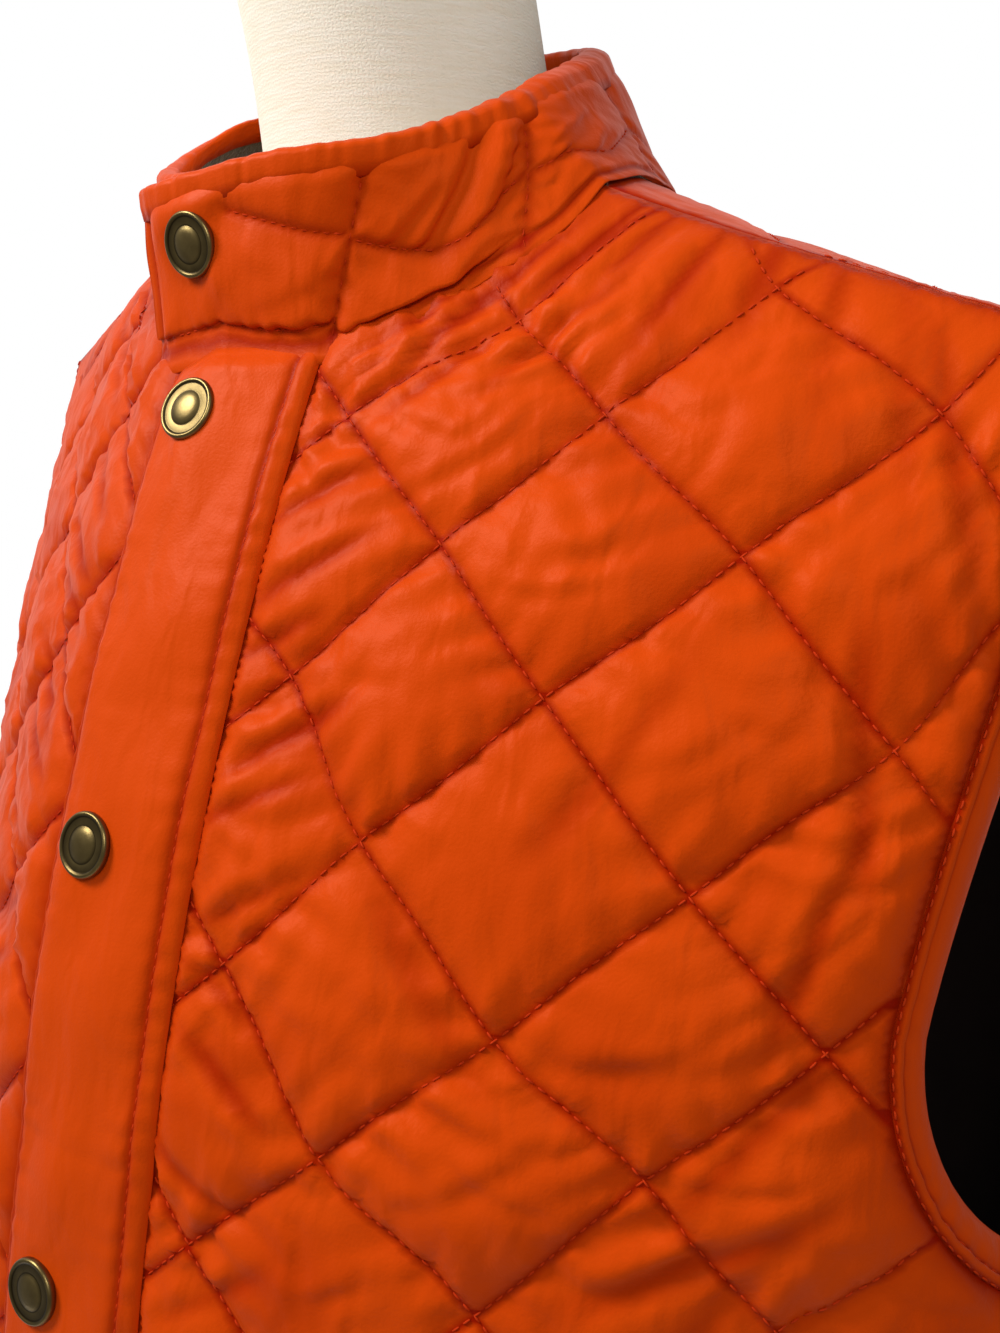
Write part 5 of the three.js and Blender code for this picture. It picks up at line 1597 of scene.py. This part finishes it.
def even_loop(points, normals, count):
    """The loop again, at even steps along its length, with its normals smoothed."""
    closed = np.concatenate([points, points[:1]])
    lengths = lengths_along(closed)
    at = np.arange(count) / count * lengths[-1]
    new_normals = unit(values_at(at, lengths, np.concatenate([normals, normals[:1]])))
    for _ in range(6):
        beside = np.roll(new_normals, 1, axis=0) + np.roll(new_normals, -1, axis=0)
        new_normals = unit(new_normals + beside)
    return values_at(at, lengths, closed), new_normals, at, lengths[-1]


# The band's outer face from the seam to its edge: reach over the band and height, with its seam ridge
BAND_OUTER = [
    dict(far=0.0, out=0.2), dict(far=0.8, out=1.3), dict(far=1.7, out=1.9), dict(far=2.6, out=1.3),
    dict(far=3.3, out=0.5), dict(far=4.2, out=1.2), dict(far=5.6, out=1.9), dict(far=7.4, out=2.3),
    dict(far=9.4, out=2.4), dict(far=11.2, out=2.1), dict(far=12.4, out=1.3), dict(far=13.0, out=0.2),
]
BAND_INNER = [
    dict(far=12.6, out=-0.9), dict(far=11.2, out=-1.7), dict(far=8.0, out=-2.0), dict(far=4.0, out=-2.2),
    dict(far=0.4, out=-2.4),
]
# The rows of the outer face that are sewn: its seam, and the dip beyond the ridge
BAND_THREAD_ROWS = (0, 4)
BAND_THREAD_LIFT = 0.25


def make_band(name, node, side):
    """Rolled strip round an armhole: its section is carried along the edge, turned in towards the arm,
    with crimps where the edge bends most."""
    front_at, front_normal = armhole_edge(FRONT, BAND_EDGE_STEPS)
    back_at, back_normal = armhole_edge(BACK, BAND_EDGE_STEPS)
    mirror = np.array([-1.0, 1.0, 1.0])
    at = np.concatenate([front_at[:-1], (back_at * mirror)[1:][::-1]])
    normal = np.concatenate([front_normal[:-1], (back_normal * mirror)[1:][::-1]])
    at, normal, length, whole = even_loop(at, normal, BAND_STATIONS)
    along = unit(np.roll(at, -1, axis=0) - np.roll(at, 1, axis=0))
    across = unit(np.cross(along, normal))
    out = unit(np.cross(across, along))
    out *= np.sign(np.einsum("ij,ij->i", out, normal))[:, None]

    rows = BAND_OUTER + BAND_INNER
    far = np.array([row["far"] for row in rows])
    high = np.array([row["out"] for row in rows])
    outer = np.arange(len(rows)) < len(BAND_OUTER)
    bend = np.exp(-((at[:, 2] - BAND_BEND["height"]) / BAND_BEND["reach"]) ** 2)
    waves = [dict(height=1.0, count=round(whole / BAND_CRIMP["gap"]), start=0.0)] + BAND_WAVES
    wave = sum(row["height"] * np.sin(2 * math.pi * row["count"] / whole * length + row["start"])
               for row in waves)
    crimped = BAND_CRIMP["height"] * (wave * (BAND_CRIMP["least"] + bend))[:, None]
    lift = high + crimped * np.exp(-np.abs(far - BAND_CRIMP["far"]) / BAND_CRIMP["reach"]) * outer
    reach = far * math.cos(BAND_TURN) + lift * math.sin(BAND_TURN) + BAND_SEAT["over"]
    height = -far * math.sin(BAND_TURN) + lift * math.cos(BAND_TURN) + BAND_SEAT["up"]
    shape = at[:, None] + across[:, None] * reach[..., None] + out[:, None] * height[..., None]
    shape[..., 0] *= side
    points, faces = sweep(shape, ring=True)
    sewn_far = [BAND_OUTER[row]["far"] for row in BAND_THREAD_ROWS]
    shade = sum(np.exp(-np.abs(far - place) / BAND_SHADE_REACH) for place in sewn_far)
    groove = np.tile(np.clip(shade, 0, 1) * outer, BAND_STATIONS)
    obj = make_object(name, points, faces, [NYLON], groove=groove)

    lifted = unit((out + across) * np.array([side, 1.0, 1.0]))
    lifted = np.concatenate([lifted, lifted[:1]])
    tracks = []
    for row in BAND_THREAD_ROWS:
        line = np.concatenate([shape[:, row], shape[:1, row]])
        tracks.append((line + lifted * BAND_THREAD_LIFT, lifted))
    sewn = stitches(name + "_stitches", tracks, THREAD, length=2.2, pitch=3.2)
    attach(obj, "root")
    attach(sewn, "root")
    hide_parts(node)
    return obj, sewn, whole


# Snaps

# A pressed cap: a rolled rim, a flat ring and a low dome, as parts of its radius and height
SNAP_PROFILE = [
    dict(out=0.0, up=0.0, dip=0), dict(out=0.93, up=0.0, dip=0), dict(out=0.985, up=0.2, dip=0),
    dict(out=1.0, up=0.45, dip=0), dict(out=0.99, up=0.66, dip=0), dict(out=0.955, up=0.8, dip=0),
    dict(out=0.91, up=0.84, dip=0), dict(out=0.865, up=0.8, dip=0.5), dict(out=0.83, up=0.7, dip=1),
    dict(out=0.79, up=0.7, dip=0.6), dict(out=0.6, up=0.73, dip=0.25), dict(out=0.57, up=0.71, dip=0.9),
    dict(out=0.54, up=0.74, dip=0.5), dict(out=0.48, up=0.84, dip=0), dict(out=0.34, up=0.94, dip=0),
    dict(out=0.18, up=0.985, dip=0), dict(out=0.0, up=1.0, dip=0),
]


def make_snap(name, node):
    """A cap turned about its own axis; the node's box gives its place and its two ends give the axis."""
    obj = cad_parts[node]
    points = np.empty(len(obj.data.vertices) * 3)
    obj.data.vertices.foreach_get("co", points)
    turned = np.array(obj.matrix_world.to_3x3())
    points = (points.reshape(-1, 3) @ turned.T + np.array(obj.matrix_world.translation)) / MM
    middle = (points.max(axis=0) + points.min(axis=0)) / 2
    _, _, axes = np.linalg.svd(points - points.mean(axis=0), full_matrices=False)
    axis = axes[2] * (1 if axes[2][1] < 0 else -1)
    heights = (points - middle) @ axis
    from_axis = np.linalg.norm(points - middle - heights[:, None] * axis, axis=1)
    centre = points[from_axis < SNAP_CENTRE_PART * SNAP_RADIUS].mean(axis=0)
    place = centre - axis * ((centre - middle) @ axis - heights.min())
    rows = np.array([[row["out"] * SNAP_RADIUS, row["up"] * SNAP_HEIGHT] for row in SNAP_PROFILE])
    points, faces = lathe(rows, SNAP_SIDES, place, axis)
    dips = np.array([row["dip"] for row in SNAP_PROFILE[1:-1]], dtype=float)
    groove = np.concatenate([np.repeat(dips, SNAP_SIDES), [0.0, 0.0]])
    cap = make_object(name, points, faces, [BRASS], groove=groove, placed=np.asarray)
    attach(cap, "root")
    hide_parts(node)


# Dress form and stand

def form_surface(facing, across, level):
    """Half of the torso: across runs from -1 to 1 over the width; a level below 1 is a height up to the
    chest, and above it the turn over to the shoulder."""
    cut = FRONT if facing < 0 else BACK
    x = FORM_HALF_WIDTH * np.sin(np.abs(across) * math.pi / 2)
    part = x / FORM_HALF_WIDTH
    chest = facing * FORM_DEPTH[facing] * np.clip(1 - part ** cut["section"], 0, 1) ** (1 / cut["section"])
    height = FORM_BOTTOM + (CHEST_HEIGHT - FORM_BOTTOM) * np.clip(level, 0, 1)
    wide = np.interp(height, FORM_GIRTH_HEIGHTS, FORM_GIRTH_WIDTHS)
    deep = np.interp(height, FORM_GIRTH_HEIGHTS, FORM_GIRTH_DEPTHS)
    turn = np.clip(level - 1, 0, 1) * math.pi / 2
    edge = part ** FORM_END_POWER
    shoulder_round = cut["shoulder_round"] + (1 - cut["shoulder_round"]) * edge
    chest_round = cut["chest_round"] + (FORM_END_ROUND - cut["chest_round"]) * edge
    rise = slope_height(x) - FORM_CLEAR - SHOULDER_END_DROP * part ** SHOULDER_END_POWER
    high_y = SHOULDER_LINE_Y + (chest - SHOULDER_LINE_Y) * np.clip(np.cos(turn), 0, 1) ** shoulder_round
    high_z = CHEST_HEIGHT + rise * np.sin(turn) ** chest_round
    low = level <= 1
    y = np.where(low, chest * deep, high_y)
    z = np.where(low, height, high_z)
    return np.stack([np.sign(across) * x * np.where(low, wide, 1.0), y, z], axis=-1)


def smoothed(values, reach):
    """Each value as the mean of those within a reach on both sides."""
    kernel = np.ones(2 * reach + 1) / (2 * reach + 1)
    return np.convolve(np.pad(values, reach, mode="edge"), kernel, mode="valid")


def make_torso():
    """Front and back halves on the same grid, joined at their sides and over the flat underside."""
    levels = np.concatenate([np.linspace(0, 1, FORM_BODY_ROWS), 1 + np.linspace(0, 1, FORM_SLOPE_ROWS)[1:]])
    rows = len(levels)
    across, level = np.meshgrid(np.linspace(-1, 1, FORM_COLUMNS), levels, indexing="ij")
    front = form_surface(-1, across, level).reshape(-1, 3)
    back = form_surface(1, across, level).reshape(-1, 3)
    faces = grid_faces(FORM_COLUMNS, rows)
    count = len(front)
    i = np.arange(FORM_COLUMNS - 1) * rows
    bottom = np.stack([i, count + i, count + i + rows, i + rows], axis=-1)
    all_faces = np.concatenate([faces, faces[:, ::-1] + count, bottom])
    torso = make_object("form_torso", np.concatenate([front, back]), all_faces, [LINEN])
    merge_points(torso)
    return torso


def make_neck():
    """Rings along the neck's leaning axis, with a rounded top."""
    z = np.concatenate([np.linspace(NECK_HEIGHTS[0], NECK_HEIGHTS[3], NECK_STEPS),
                        [row["height"] for row in NECK_TOP]])
    y = smoothed(np.interp(z, NECK_HEIGHTS, NECK_AXIS_Y), NECK_SMOOTH)
    radius = smoothed(np.interp(z, NECK_HEIGHTS[:4], NECK_RADII), NECK_SMOOTH)
    radius[-3:] = radius[-4] - np.array([row["less"] for row in NECK_TOP])
    angle = np.arange(NECK_SIDES) / NECK_SIDES * 2 * math.pi
    rings = np.stack([
        radius[:, None] * np.cos(angle),
        y[:, None] + radius[:, None] * np.sin(angle),
        np.broadcast_to(z[:, None], (len(z), NECK_SIDES)),
    ], axis=-1)
    points, tris = sweep(rings)
    return make_object("form_neck", points, tris, [LINEN], placed=turned_only)


def make_form():
    """Torso and neck, attached to the root; the model's dress form is hidden."""
    for piece in (make_torso(), make_neck()):
        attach(piece, "root")
        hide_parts("dress_form")


def merge_points(obj):
    """Merges points that coincide, and turns the faces outwards."""
    mesh = bmesh.new()
    mesh.from_mesh(obj.data)
    bmesh.ops.remove_doubles(mesh, verts=mesh.verts, dist=MERGE_DISTANCE)
    bmesh.ops.recalc_face_normals(mesh, faces=mesh.faces)
    mesh.to_mesh(obj.data)
    mesh.free()


def make_stand():
    """Post and weighted base, turned from steel."""
    low = BASE_THICK + POST_CLEAR
    high = FORM_BOTTOM - POST_CLEAR
    post_rows = [(0, low), (POST_RADIUS, low), (POST_RADIUS, high), (0, high)]
    base_rows = [(0, 0), (BASE_RADIUS - BASE_FOOT, 0), (BASE_RADIUS, BASE_FOOT),
                 (BASE_RADIUS, BASE_THICK - BASE_EDGE)]
    for turn in np.linspace(0, math.pi / 2, 7)[1:]:
        base_rows.append((BASE_RADIUS - BASE_EDGE * (1 - math.cos(turn)),
                          BASE_THICK - BASE_EDGE * (1 - math.sin(turn))))
    base_rows.append((0, BASE_THICK))
    pieces = [("post", "form_post", post_rows, POST_SIDES), ("base", "form_base", base_rows, BASE_SIDES)]
    for name, node, rows, sides in pieces:
        points, faces = lathe(np.array(rows, dtype=float), sides, np.zeros(3), (0, 0, 1))
        obj = make_object("steel_" + name, points, faces, [STEEL], placed=np.asarray)
        obj.data.shade_smooth()
        obj.data.set_sharp_from_angle(angle=STEEL_SHARP)
        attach(obj, "root")
        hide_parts(node)


# Studio

# In metres and watts
BACKDROP_DIRECTION = (-0.72, 0.69, 0.0)
BACKDROP_FADE = (0.45, 0.75)
ROOM_BRIGHTNESS = 0.24
FLOOR_REACH = 0.6
SOFTBOXES = [
    dict(name="key", place=(-0.5, -0.85, 1.6), target=(0.05, 0.0, 0.98), size=0.45, power=16.5),
    dict(name="side", place=(0.75, -0.55, 1.35), target=(0.0, 0.0, 1.02), size=0.3, power=4),
]


def make_floor():
    """A square board under the stand."""
    mesh = bpy.data.meshes.new("floor")
    corners = [(-FLOOR_REACH, -FLOOR_REACH, 0), (FLOOR_REACH, -FLOOR_REACH, 0),
               (FLOOR_REACH, FLOOR_REACH, 0), (-FLOOR_REACH, FLOOR_REACH, 0)]
    mesh.from_pydata(corners, [], [(0, 1, 2, 3)])
    mesh.materials.append(pale_floor())
    floor = bpy.data.objects.new("floor", mesh)
    bpy.context.scene.collection.objects.link(floor)


def add_softbox(row):
    """A square soft light that faces its target."""
    light = bpy.data.lights.new(row["name"], "AREA")
    light.shape = "RECTANGLE"
    light.size = row["size"]
    light.size_y = row["size"]
    light.energy = row["power"]
    obj = bpy.data.objects.new(row["name"], light)
    bpy.context.scene.collection.objects.link(obj)
    obj.location = row["place"]
    towards = Vector(row["target"]) - Vector(row["place"])
    obj.rotation_euler = towards.to_track_quat("-Z", "Y").to_euler()


def make_light():
    """A white backdrop that fades to a dimmer room, with a soft key from the wearer's front and above."""
    world = bpy.data.worlds.new("studio")
    bpy.context.scene.world = world
    world.use_nodes = True
    tree = world.node_tree
    direction = add_node(tree, "ShaderNodeTexCoord")
    towards = add_node(tree, "ShaderNodeVectorMath", {"operation": "DOT_PRODUCT"},
                       {0: direction.outputs["Generated"], 1: BACKDROP_DIRECTION})
    fade = add_node(tree, "ShaderNodeMapRange", {"interpolation_type": "SMOOTHSTEP"},
                    {"Value": towards.outputs["Value"], "From Min": BACKDROP_FADE[0],
                     "From Max": BACKDROP_FADE[1], "To Min": ROOM_BRIGHTNESS, "To Max": 1.0})
    set_inputs(tree, tree.nodes["Background"],
               {"Color": (1.0, 1.0, 1.0, 1.0), "Strength": fade.outputs["Result"]})
    for row in SOFTBOXES:
        add_softbox(row)
    bpy.context.scene.view_settings.view_transform = "Standard"


def make_camera():
    """Camera at the photograph's own place and angle."""
    azimuth = math.radians(CAMERA_AZIMUTH)
    down = math.radians(CAMERA_DOWN)
    forward = Vector((-math.sin(azimuth) * math.cos(down), math.cos(azimuth) * math.cos(down),
                      -math.sin(down)))
    level_right = Vector((math.cos(azimuth), math.sin(azimuth), 0))
    level_up = level_right.cross(forward)
    roll = math.radians(CAMERA_ROLL)
    right = level_right * math.cos(roll) + level_up * math.sin(roll)
    up = right.cross(forward)
    camera = bpy.data.cameras.new("camera")
    camera.sensor_width = SENSOR_MM
    camera.sensor_fit = "AUTO"
    camera.lens = FOCAL_PIXELS / PHOTO_HEIGHT * SENSOR_MM
    camera.clip_start = 0.01
    obj = bpy.data.objects.new("camera", camera)
    bpy.context.scene.collection.objects.link(obj)
    turned = Matrix((right, up, -forward)).transposed().to_4x4()
    obj.matrix_world = Matrix.Translation([c * MM for c in CAMERA_PLACE]) @ turned
    bpy.context.scene.camera = obj


make_camera()
make_light()
make_floor()
make_form()
make_stand()
panels = make_panels()
placket, placket_thread = make_placket()
collar, collar_pile, collar_thread = make_collar()
binding = make_binding()
left_band, left_thread, band_length = make_band("left_armhole_band", "armhole_binding_left", 1)
right_band, right_thread, _ = make_band("right_armhole_band", "armhole_binding_right", -1)
for number in range(1, PLACKET_SNAPS + 1):
    make_snap(f"placket_cap_{number}", f"snap_placket_{number}")
make_snap("collar_cap", "snap_collar")
